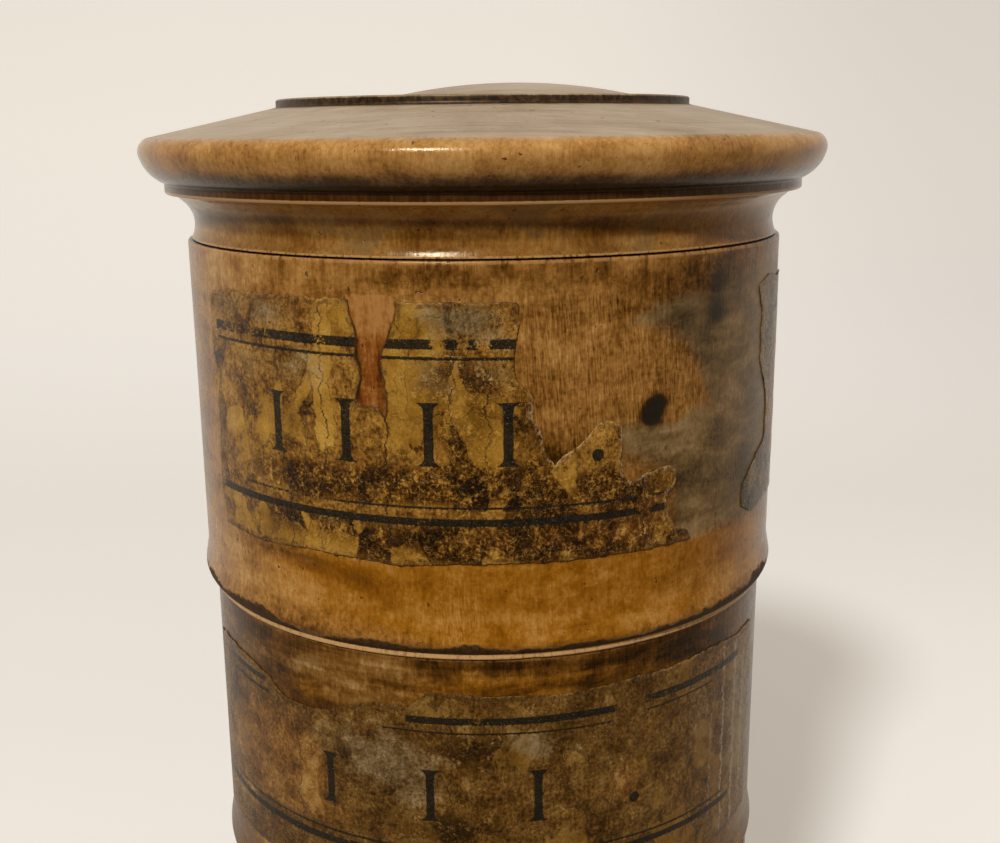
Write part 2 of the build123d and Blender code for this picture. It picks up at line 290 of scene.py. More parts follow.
# The turning: every wooden piece is one closed outline spun about the tower's axis on a lathe,
# with a coarse screw thread chased on its spigot and in its socket. Old wood is a little out
# of round, and its sharp edges are nibbled.
def build_turning():
    """The geometry tree that spins an outline of stations into a piece of turned wood."""
    group = bpy.data.node_groups.new("turning", "GeometryNodeTree")
    inputs = [
        ("Outline", "NodeSocketGeometry", None), ("Segments", "NodeSocketInt", 360),
        ("Out of Round", "NodeSocketFloat", 0.1 * mm), ("Nibble", "NodeSocketFloat", 0.3 * mm),
        ("Pitch", "NodeSocketFloat", 3.2 * mm), ("Thread Depth", "NodeSocketFloat", 1.0 * mm),
        ("Root Width", "NodeSocketFloat", 2.4 * mm), ("Crest Width", "NodeSocketFloat", 0.8 * mm),
        ("Seed", "NodeSocketFloat", 0.0), ("Material", "NodeSocketMaterial", None),
    ]
    group.interface.new_socket("Wood", in_out="OUTPUT", socket_type="NodeSocketGeometry")
    for name, kind, value in inputs:
        socket = group.interface.new_socket(name, in_out="INPUT", socket_type=kind)
        if value is not None:
            socket.default_value = value
    t = Tree(group)
    asked = group.nodes.new("NodeGroupInput")
    given = {socket.name: Socket(t, socket) for socket in asked.outputs if socket.name}
    outline = given["Outline"]
    stations = t.node("GeometryNodeAttributeDomainSize", {"Geometry": outline}, out="Point Count")
    around = given["Segments"] + 1
    lattice = t.node("GeometryNodeMeshGrid", {"Vertices X": stations, "Vertices Y": around}, out="Mesh")
    index = t.node("GeometryNodeInputIndex")
    column = index % around
    row = t.node("ShaderNodeMath", {0: index / around}, operation="FLOOR")

    def at_station(kind, value):
        links = {"Geometry": outline, "Value": value, "Index": row}
        return t.node("GeometryNodeSampleIndex", links, data_type=kind)

    def station_number(name):
        attribute = t.node("GeometryNodeInputNamedAttribute", {"Name": name}, data_type="FLOAT")
        return at_station("FLOAT", attribute)

    radius, _, height = t.split(at_station("FLOAT_VECTOR", t.node("GeometryNodeInputPosition")))
    angle = column / given["Segments"] * math.tau
    sine = t.node("ShaderNodeMath", {0: angle}, operation="SINE")
    cosine = t.node("ShaderNodeMath", {0: angle}, operation="COSINE")

    # The chased ridge: a helix that climbs one pitch for each turn, proud of a spigot or a socket
    from_start = height - station_number("thread_start")
    turns = from_start / given["Pitch"] - column / given["Segments"] + station_number("thread_phase")
    nearest = round(turns)
    off_ridge = abs(turns - nearest) * given["Pitch"]
    slope = (given["Root Width"] - given["Crest Width"]) / 2
    shape = ((given["Root Width"] / 2 - off_ridge) / slope).most(0).least(1)
    middle = from_start - (turns - nearest) * given["Pitch"]
    past_end = middle - station_number("thread_length")
    run_out = 0.6 * mm
    ends = middle.rise(-run_out, run_out) * (1 - past_end.rise(-run_out, run_out))
    ridge = shape * ends * given["Thread Depth"] * station_number("thread")

    # Shrinkage and wear
    rough_place = t.node("ShaderNodeCombineXYZ", {0: cosine * radius, 1: sine * radius, 2: height})

    def wander(size, detail):
        scaled = t.node("ShaderNodeVectorMath", {0: rough_place, "Scale": 1 / size}, operation="SCALE")
        links = {"Vector": scaled, "W": given["Seed"], "Scale": 1, "Detail": detail}
        return t.node("ShaderNodeTexNoise", links, noise_dimensions="4D") - 0.5

    shrink = wander(45 * mm, 1) * 2 * given["Out of Round"]
    bites = wander(3.2 * mm, 3).rise(0.06, 0.22) + wander(1.1 * mm, 2).rise(0.1, 0.3) * 0.4
    worn = bites * station_number("wear") * given["Nibble"]
    on_axis = radius.rise(0.2 * mm, 6 * mm)
    final_radius = radius + ridge + (shrink - worn) * on_axis
    place = t.node("ShaderNodeCombineXYZ", {0: cosine * final_radius, 1: sine * final_radius, 2: height})
    turned = t.node("GeometryNodeSetPosition", {"Geometry": lattice, "Position": place})
    closed = t.node("GeometryNodeMergeByDistance", {"Geometry": turned, "Distance": 0.002 * mm})
    smooth = t.node("GeometryNodeSetShadeSmooth", {0: closed})
    finished = t.node("GeometryNodeSetMaterial", {"Geometry": smooth, "Material": given["Material"]})
    t.node("NodeGroupOutput", {0: finished})
    return group


turning = build_turning()


def store(mesh, name, values):
    """Keeps a number for each point of a mesh."""
    mesh.attributes.new(name, "FLOAT", "POINT").data.foreach_set("value", values)


def points_of(mesh):
    """The points of a mesh, in millimetres."""
    points = np.zeros(len(mesh.vertices) * 3)
    mesh.vertices.foreach_get("co", points)
    return points.reshape(-1, 3) / mm


class Outline:
    """The stations of a turned outline, walked from the inside out, in millimetres."""

    def __init__(self, base):
        self.base = base
        self.stations = []
        self.plain()

    def to(self, r, z, wear=0):
        self.stations.append((r, z, wear, *self.thread))
        return self

    def line(self, r, z, count, wear=0):
        """Stations along a straight stretch, to (r, z)."""
        r0, z0 = self.stations[-1][:2]
        for step in range(1, count + 1):
            share = step / count
            self.to(r0 + (r - r0) * share, z0 + (z - z0) * share, wear)
        return self

    def arc(self, middle, end, count, wear=0):
        """Stations along the arc through a middle point, to an end point."""
        start = Vector(self.stations[-1][:2])
        middle, end = Vector(middle), Vector(end)
        a, b = middle - start, end - start
        cross = 2 * (a.x * b.y - a.y * b.x)
        centre = start + Vector((
            (b.y * a.length_squared - a.y * b.length_squared) / cross,
            (a.x * b.length_squared - b.x * a.length_squared) / cross,
        ))
        first = math.atan2(*(start - centre).yx)
        sweep = math.atan2(*(end - centre).yx) - first
        through = math.atan2(*(middle - centre).yx) - first
        if (through % math.tau) < (sweep % math.tau):
            sweep %= math.tau
        else:
            sweep = sweep % math.tau - math.tau
        reach = (start - centre).length
        for step in range(1, count + 1):
            turn = first + sweep * step / count
            self.to(centre.x + reach * math.cos(turn), centre.y + reach * math.sin(turn), wear)
        return self

    def threaded(self, start, length, phase, proud):
        """The stations from here on carry a thread, until plain() is called."""
        self.thread = (proud, start, length, phase)
        return self

    def plain(self):
        self.thread = (0, 0, 0, 0)
        return self

    def turn(self, name, material, seed, out_of_round, nibble=0.3):
        """The piece of wood: the outline spun by the turning tree into a plain mesh."""
        mesh = bpy.data.meshes.new(name + "_outline")
        points = [(r * mm, 0, (self.base + z) * mm) for r, z, *_ in self.stations]
        mesh.from_pydata(points, [(i, i + 1) for i in range(len(points) - 1)], [])
        columns = np.array([station[2:] for station in self.stations])
        lengths = {"thread_start": self.base, "thread_length": 0}
        names = ["wear", "thread", "thread_start", "thread_length", "thread_phase"]
        for number, column in zip(names, columns.T):
            scale = mm if number in lengths else 1
            store(mesh, number, (column + lengths.get(number, 0)) * scale)
        source = put(name + "_outline", mesh)
        modifier = source.modifiers.new("turning", "NODES")
        modifier.node_group = turning
        wanted = {
            "Out of Round": out_of_round * mm, "Nibble": nibble * mm, "Seed": float(seed),
            "Material": material,
        }
        for item in turning.interface.items_tree:
            if item.name in wanted:
                modifier[item.identifier] = wanted[item.name]
        graph = bpy.context.evaluated_depsgraph_get()
        wood_mesh = bpy.data.meshes.new_from_object(source.evaluated_get(graph))
        bpy.data.objects.remove(source)
        wood_mesh.name = name
        return put(name, wood_mesh)


def depth_inside(points, outline):
    """How far points lie inside a closed outline; less than nought outside it."""
    a = np.array(outline, float)
    b = np.roll(a, -1, axis=0)
    run = b - a
    from_a = points[:, None, :] - a
    share = np.clip((from_a * run).sum(2) / (run * run).sum(1), 0, 1)
    gap = np.linalg.norm(from_a - share[..., None] * run, axis=2).min(1)
    height = points[:, None, 1]
    crosses = (a[:, 1] > height) != (b[:, 1] > height)
    rise = np.where(run[:, 1] == 0, 1, run[:, 1])
    reach = a[:, 0] + (height - a[:, 1]) * run[:, 0] / rise
    odd = (crosses & (points[:, None, 0] < reach)).sum(1) % 2 == 1
    return np.where(odd, gap, -gap)


def paint(mesh, name, around, depth, wall, marks):
    """Paints a number on a mesh, from marks given in degrees from the front and mm of depth.

    A round mark is (angle, depth, half width, half height, strength), and any other is
    (list of corners, softness of its edge, strength).
    """
    total = np.zeros(len(around))
    for mark in marks:
        if len(mark) == 5:
            angle, down, half_width, half_height, strength = mark
            off = (around - angle + 180) % 360 - 180
            reach = np.hypot(np.radians(off) * wall / half_width, (depth - down) / half_height)
            total += strength * np.clip(1.25 - reach * 0.75, 0, 1)
        else:
            corners, soft, strength = mark
            outline = [(math.radians(angle) * wall, down) for angle, down in corners]
            inside = depth_inside(np.column_stack([np.radians(around) * wall, depth]), outline)
            total += strength * np.clip(0.5 + inside / soft, 0, 1)
    store(mesh, name, np.clip(total, -1.5, 1.5))


# The lid: one turned cap of sycamore, with an overhanging rim on a square fillet and a deep
# cove, a shallow cone above it and a raised disc with a low crown worn to one side. It screws
# onto the top cup's spigot.
lid_base = seam / mm
spigot_height = 9.0
spigot_radius = 34.5
thread_depth = 1.0
thread_margin = 1.74
socket_radius = spigot_radius + thread_depth + 0.2
socket_depth = spigot_height + 1.0
mouth_chamfer = 0.6
thread_length = spigot_height - 2 * thread_margin

lid_outline = Outline(lid_base).to(0, 14.5).line(26, 14.5, 8)
lid_outline.arc((27.4, 13.9), (28, 12.5), 5).line(28, socket_depth, 3).line(socket_radius, socket_depth, 3)
lid_outline.threaded(thread_margin, thread_length, 0.5, -1).line(socket_radius, mouth_chamfer, 30).plain()
lid_outline.line(socket_radius + mouth_chamfer, 0, 2, 0.3)
lid_outline.line(40.3, 0, 4, 0.2).line(40.5, 0.15, 2, 0.4)
lid_outline.arc((40.0, 2.3), (41.65, 5.3), 20).arc((42.3, 5.78), (43.1, 6.0), 6).line(43.45, 6.08, 2)
lid_outline.line(43.6, 6.22, 1, 0.5).line(43.6, 7.4, 5, 0.4).arc((45.6, 8.9), (46.65, 11.1), 18)
lid_outline.arc((46.3, 12.5), (45.4, 13.2), 10).line(28.5, 16.95, 34)
lid_outline.line(28.4, 17.05, 1).line(28.4, 17.75, 3, 0.4).arc((28.3, 17.93), (28.1, 18.0), 3, 0.4)
lid_outline.line(18, 18.05, 10).arc((9, 19.6), (0, 20.1), 16)


def finish_surface(t, colour, roughness, height, depth, strength):
    """Ends the material of an old varnished surface, which has a relief."""
    bump = t.node("ShaderNodeBump", {"Height": height, "Distance": depth, "Strength": strength})
    links = {
        "Base Color": colour, "Roughness": roughness, "Normal": bump,
        "Specular IOR Level": 0.26, "Specular Tint": (1.0, 0.82, 0.58),
    }
    t.node("ShaderNodeOutputMaterial", {"Surface": t.node("ShaderNodeBsdfPrincipled", links)})


def build_lid_wood():
    """Sycamore that is golden on the rim, streaked brown in the cove and dusty grey on top."""
    wood, t = new_material("lid_sycamore")
    place = t.millimetres()
    x, y, z = t.split(place)
    up = z - lid_base
    radius = (x * x + y * y) ** 0.5
    broad = t.cloud(place, (14, 14, 8), 3, 0.55)
    mottle = t.cloud(place, (5.0, 5.0, 3.2), 5, 0.6)
    upright = t.cloud(place, (0.5, 0.5, 3.0), 4, 0.62)
    hair = t.cloud(place, (0.17, 0.17, 1.2), 2, 0.5)
    speck = t.cloud(place, 0.6, 4, 0.66)
    pits = t.cloud(place, (1.0, 1.0, 0.8), 2, 0.5)
    texture = mottle.sway(0.8) + upright.sway(0.5) + hair.sway(0.3) + speck.sway(0.5)
    left = 1 - x.rise(-42, -20)
    right = x.rise(24, 42)

    # The rim is golden, painted lighter on its right side as painted light. Under it and in the hollow
    # above the fillet it is dark, partly with grime and partly as painted shade, and the underside is
    # painted lighter at the left and right as painted light.
    flecks = (upright * 0.6 + speck * 0.4).rise(0.58, 0.66) * (1 - (up + mottle.sway(3)).rise(10.4, 12.0))
    tone = 0.47 + texture + broad.sway(0.6) + right * 0.12 - flecks * 0.36
    colour = t.ramp(tone, (0, (0.075, 0.03, 0.006)), (0.28, (0.21, 0.09, 0.02)),
                    (0.5, (0.365, 0.178, 0.046)), (0.72, (0.49, 0.275, 0.092)), (1, (0.62, 0.42, 0.19)))
    tone = 0.47 + texture * 0.9 + left * 0.4 + right * 0.32
    grime_and_shade = t.ramp(tone, (0, (0.012, 0.006, 0.002)), (0.4, (0.05, 0.026, 0.01)),
                   (0.7, (0.14, 0.092, 0.05)), (1, (0.33, 0.25, 0.165)))
    under = 1 - (up + mottle.sway(1.6) + upright.sway(0.6)).rise(8.5, 9.9)
    colour = t.blend(under * 0.95, colour, grime_and_shade)
    hollow = (up + mottle.sway(0.5) + speck.sway(0.3)).band(7.3, 8.25, 0.2)
    colour = t.blend(hollow * (0.85 - left * 0.4), colour, (0.022, 0.012, 0.005))

    # The cove is brown and streaked, with painted light and shade in it: painted lighter high up, where the
    # rim's shadow falls, and painted darker halfway up and at the foot, where the lamp reaches, less so on
    # the right. The fillet above it is stained dark, with a pale line at the edge under it.
    tone = 0.5 + texture * 1.0 + broad.sway(0.8) + left * 0.2 + right * 0.12 + up.rise(4.2, 4.8) * 0.12
    cove = t.ramp(tone, (0, (0.07, 0.022, 0.002)), (0.3, (0.23, 0.087, 0.01)),
                  (0.5, (0.37, 0.165, 0.03)), (0.72, (0.52, 0.29, 0.085)), (1, (0.68, 0.48, 0.24)))
    level = (up + mottle.sway(1.4)) / 7
    painted_cove_shade = t.ramp(level, (0, (0.62, 0.62, 0.62)), (0.26, (0.62, 0.62, 0.62)),
                     (0.34, (0.42, 0.4, 0.36)), (0.54, (0.44, 0.42, 0.38)),
                     (0.66, (0.92, 0.92, 0.92)), (1, (1, 1, 1)))
    cove = t.darken(1.0, cove, t.blend(x.rise(12, 32) * 0.5, painted_cove_shade, (0.8, 0.8, 0.8)))
    foot_ticks = upright.rise(0.48, 0.6) * (1 - up.rise(0.5, 1.6))
    cove = t.darken(foot_ticks * 0.6, cove, (0.3, 0.22, 0.16))
    amber = (broad.sway(1.2) + upright.sway(0.8) + 0.5).rise(0.56, 0.7) * (1 - left)
    cove = t.blend(amber * 0.35, cove, (0.32, 0.13, 0.015))
    smudge = ((mottle - 0.5) + broad.sway(1.3) + 0.5).rise(0.6, 0.72)
    cove = t.blend(smudge * 0.4, cove, (0.06, 0.036, 0.016))
    colour = t.blend(1 - up.rise(6.3, 6.5), colour, cove)
    fillet = up.rise(6.42, 6.52) * (1 - up.rise(7.35, 7.5))
    streaked = upright.rise(0.4, 0.65) * 0.6 + left * 0.3
    stained = t.blend(streaked, (0.034, 0.01, 0.001), (0.085, 0.032, 0.006))
    colour = t.blend(fillet * 0.96, colour, stained)
    # The pale line is worn wood on the fillet's lower edge, and partly a painted highlight of that edge.
    pale_line = radius.rise(43.1, 43.3) * (1 - (up + speck.sway(0.16)).rise(6.44, 6.54)) * up.rise(5.9, 6.0)
    colour = t.blend(pale_line * (mottle * 0.9 + 0.45), colour, (0.36, 0.195, 0.072))

    # The cone and the disc have gone grey with dust and hands, and the disc's edge black
    rings = t.cloud(t.node("ShaderNodeCombineXYZ", {0: radius, 1: up, 2: x / 30}), (0.9, 0.9, 1), 3)
    lengthwise = t.cloud(place, (26, 0.8, 9), 4, 0.62, 0.3)
    fleck = t.cloud(place, (5, 0.35, 4), 2, 0.55)
    tone = 0.4 + mottle.sway(0.45) + speck.sway(0.4) + rings.sway(0.3) + broad.sway(0.7) + left * 0.12
    tone = tone + lengthwise.sway(0.7) + fleck.sway(0.3) - radius.band(28.0, 29.6, 0.6) * 0.25
    dusty = t.ramp(tone, (0.1, (0.2, 0.135, 0.075)), (0.4, (0.35, 0.27, 0.18)),
                   (0.6, (0.42, 0.34, 0.245)), (1, (0.56, 0.48, 0.37)))
    on_cone = (up + mottle.sway(0.6)).rise(12.7, 13.6)
    colour = t.blend(on_cone, colour, dusty)
    step = up.rise(16.72, 16.86) * (1 - (up + speck.sway(0.2)).rise(17.74, 17.86))
    step = step * radius.band(27.6, 29.2, 0.25)
    black = t.blend(speck.rise(0.4, 0.62), (0.008, 0.004, 0.002), (0.055, 0.026, 0.008))
    colour = t.blend(step * 0.96, colour, black)
    nicks = pits.rise(0.71, 0.76)
    colour = t.darken(nicks * 0.8, colour, (0.22, 0.13, 0.07))

    # The seam's edge catches the light; inside, the wood is raw
    lower_edge = (1 - (up + speck.sway(0.2)).rise(0.3, 0.44)) * upright.rise(0.36, 0.5)
    colour = t.blend(lower_edge * 0.75, colour, (0.5, 0.28, 0.1))
    # Right at the seam the wood is painted near black, a painted shade in the joint with grime in it.
    colour = t.blend(1 - (up + speck.sway(0.1)).rise(0.12, 0.17), colour, (0.006, 0.002, 0.001))
    inside = (1 - radius.rise(39.4, 39.7)) * (1 - up.rise(14.505, 14.515))
    colour = t.blend(inside, colour, t.blend(mottle.rise(0.3, 0.7), (0.4, 0.25, 0.12), (0.27, 0.15, 0.06)))
    roughness = 0.2 + on_cone * 0.2 + mottle.sway(0.3) + speck.sway(0.15) + inside * 0.3
    height = speck.sway(0.5) + upright.sway(0.5) + hair.sway(0.2) + mottle.sway(0.5) - nicks * 1.2
    finish_surface(t, colour, roughness, height, 0.07 * mm, 0.6)
    return wood


lid_wood = lid_outline.turn("lid_wood", build_lid_wood(), seed=3, out_of_round=0.14, nibble=0.25)
points = points_of(lid_wood.data)
reach = np.hypot(points[:, 0], points[:, 1])
crown_lean = 4.2
disc_height = 17.9
on_top = (points[:, 2] > lid_base + disc_height) * np.clip((27 - reach) / 9, 0, 1)
points[:, 0] += crown_lean * on_top * on_top * (3 - 2 * on_top)
lid_wood.data.vertices.foreach_set("co", points.ravel() * mm)
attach(lid_wood, "lid")
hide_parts("lid")


# The four cups: each is turned from one block of sycamore, hollowed, and screwed into the
# socket under the next. A bead and a thin worn lip run round the bottom edge, and the lowest
# cup has a moulded foot instead. Handling has left dark grime, pale rubs and ochre varnish.
cups = {
    "top": {
        "body": "top_cup", "slot": "golden_wood", "wall": 41, "seed": 11,
        "grey": [
            ([(25, 7), (31, 5.5), (42, 5), (52, 2.5), (90, 2), (90, 35.4), (32, 35.4), (32, 26), (22, 24),
            (23, 20), (33, 21.5), (42, 18.5), (39, 12.5), (33, 9)], 4.5, 0.85), (37, 24, 4, 3, 0.4),
            (-33, 37, 12, 2, 0.35), (36, 7, 12, 3, 0.2), (30, 20.5, 5, 2, 0.4), (52, 12, 8, 5, 0.4),
            (-100, 20, 30, 20, 0.5), (150, 30, 40, 10, 0.6),
        ],
        "dark": [
            (40, 3, 12, 3.5, 0.4), (28.4, 18.3, 1.5, 1.3, 1.3), (29.7, 17.2, 1.3, 1, 1.2),
            (28.4, 19.4, 1, 0.9, 0.7), (26.6, 18.9, 1.2, 0.5, 0.6), (33.5, 6.5, 3, 2.6, 0.25),
            (37, 10, 3.6, 3, 0.4), (42.5, 4, 1.6, 3, 0.3), (48, 2.5, 3, 2, 0.25), (43.5, 8, 2, 1.5, 0.5),
            (54.5, 20, 3, 8, 0.2), (42, 17, 3, 5, 0.3), (58, 31, 6, 5, 0.35), (14, 3.2, 4, 1.4, 0.15),
            (24, 2.6, 4, 1.2, 0.15), (-7, 1.8, 8, 1, 0.45), (-25, 3.5, 9, 2, 0.2),
            (11, 22.5, 2.6, 1.6, 0.5), (46, 29, 8, 5, 0.3), (-130, 12, 16, 6, 0.5), (110, 30, 12, 8, 0.5),
            (30, 21.5, 3.4, 0.8, 0.25), (22, 8, 1.6, 2, 0.2), (-36, 36.6, 8, 1, 0.7),
            (-27, 38, 5, 1.6, 0.3), (44, 8, 8, 6, 0.25), (-21, 38.5, 3, 1.4, 0.4),
            (-21, 10.5, 0.5, 3.4, 0.6), (-20.5, 13.2, 0.5, 2.2, 0.6), (-21.2, 15.8, 0.6, 1.4, 0.7),
            (-16.5, 10.5, 0.5, 3, 0.6), (-17.1, 13, 0.5, 2, 0.6), (-16.1, 16, 0.5, 1.5, 0.6),
            (-14.8, 7.6, 0.5, 2, 0.4), (-22, 6.4, 0.5, 2.4, 0.5),
        ],
        "pale": [
            (-58, 40, 8, 5, 0.8), (-38, 40, 9, 4, 0.5), (-35, 42.4, 3, 2, 0.6), (-5.4, 41.5, 2.2, 3.2, 0.6),
            (7.5, 43.3, 2.2, 1.8, 0.8), (2.5, 41.4, 1.4, 1.2, 0.6), (29, 44, 4, 1.2, 0.6),
            (44, 43.6, 4, 1.6, 0.5), (50, 40, 10, 4, 0.3), (-56, 20, 7, 24, 0.4), (-44, 2, 14, 2, 0.5),
            (60, 41, 8, 4, 0.4), (34, 22, 3, 2, 0.6), (-19, 9, 3, 5, 0.2), (36, 12, 3, 4, 0.3),
        ],
        "ochre": [
            (-10, 40, 26, 5, 0.7), (22, 40, 20, 5, 1), (8, 39, 12, 4, 1), (-24, 38.5, 8, 3, 0.4),
            (-38, 7, 10, 3, 0.2), (170, 36, 60, 8, 0.7),
        ],
        "grain": [
            ([(4, 5), (34, 5), (38, 12), (35, 20), (24, 20), (12, 23.5), (8, 20)], 3, 1),
            (42, 12, 6, 8, 0.5), (-5, 41.5, 2.4, 3.4, 1), (50, 16, 10, 14, 0.2), (36, 24, 4, 3, 0.3),
            (14, 4, 12, 3, 0.2), (120, 20, 20, 20, 0.5), (-120, 20, 20, 20, 0.5),
        ],
        "rubbed": [
            ([(-23, 4), (-14, 4), (-16, 10), (-17, 14), (-16, 24), (-17.5, 24), (-18.5, 17.5), (-22, 17),
            (-20, 12)], 0.8, 1),
        ],
        "soot": [
            (-46, 46, 5, 2.4, 1), (-62, 45.6, 14, 3, 1.2), (-19, 46.2, 5, 1.6, 1),
            (-3, 46.2, 2.4, 1.6, 0.9), (17, 46.2, 3, 1.4, 0.7), (50, 46, 11, 2.6, 1.1),
            (70, 45.5, 12, 3, 1.2), (0, 46.6, 12, 1.5, 0.3),
        ],
    },
    "second": {
        "body": "second_cup", "slot": "dark_wood", "wall": 40, "seed": 23,
        "grey": [(-60, 6, 14, 6, 0.4), (-36, 4, 12, 3, 0.2), (66, 6, 12, 6, 0.4)],
        "dark": [
            (24, 4, 20, 2, 0.3), (40, 3, 12, 2.5, 0.35), (-6, 1.2, 20, 1, 0.3), (-66, 2, 16, 2, 0.2),
        ],
        "pale": [(-58, 36, 9, 5, 0.8), (62, 36, 10, 5, 0.8), (-38, 3, 12, 3, 0.35)],
        "ochre": [(-34, 8, 4, 3, 0.4), (-46, 35, 6, 3, 0.7), (14, 38, 16, 3, 0.4), (4, 4, 16, 3, 0.5)],
        "grain": [(-70, 20, 20, 20, 0.4), (0, 3, 30, 3, 0.3)],
        "soot": [(-20, 41.4, 20, 2, 0.8), (50, 41, 16, 2, 0.8)],
    },
    "third": {
        "body": "third_cup", "slot": "dark_wood", "wall": 40, "seed": 37,
        "grey": [(30, 8, 22, 8, 0.7), (-50, 30, 18, 10, 0.5)],
        "dark": [(-10, 3, 40, 3, 0.5), (52, 34, 8, 5, 0.5)],
        "pale": [(-40, 38, 16, 4, 0.6), (25, 38, 14, 4, 0.5)],
        "ochre": [(0, 38, 40, 5, 0.6), (-64, 12, 9, 8, 0.4)],
        "grain": [(80, 20, 20, 20, 0.6), (-90, 20, 30, 20, 0.5)],
        "soot": [(20, 41.2, 16, 2, 0.9), (-60, 41, 12, 2, 0.6)],
    },
    "bottom": {
        "body": "bottom_cup", "slot": "dark_wood", "wall": 40, "seed": 51,
        "grey": [(-20, 6, 26, 4, 0.5), (58, 24, 14, 14, 0.6)],
        "dark": [(10, 3, 30, 3, 0.4), (-60, 30, 10, 10, 0.4)],
        "pale": [(20, 39, 18, 4, 0.5), (-35, 41, 10, 4, 0.5)], "ochre": [(-5, 38, 44, 5, 0.5)],
        "grain": [(75, 20, 20, 20, 0.6), (-85, 20, 30, 20, 0.5)],
    },
}


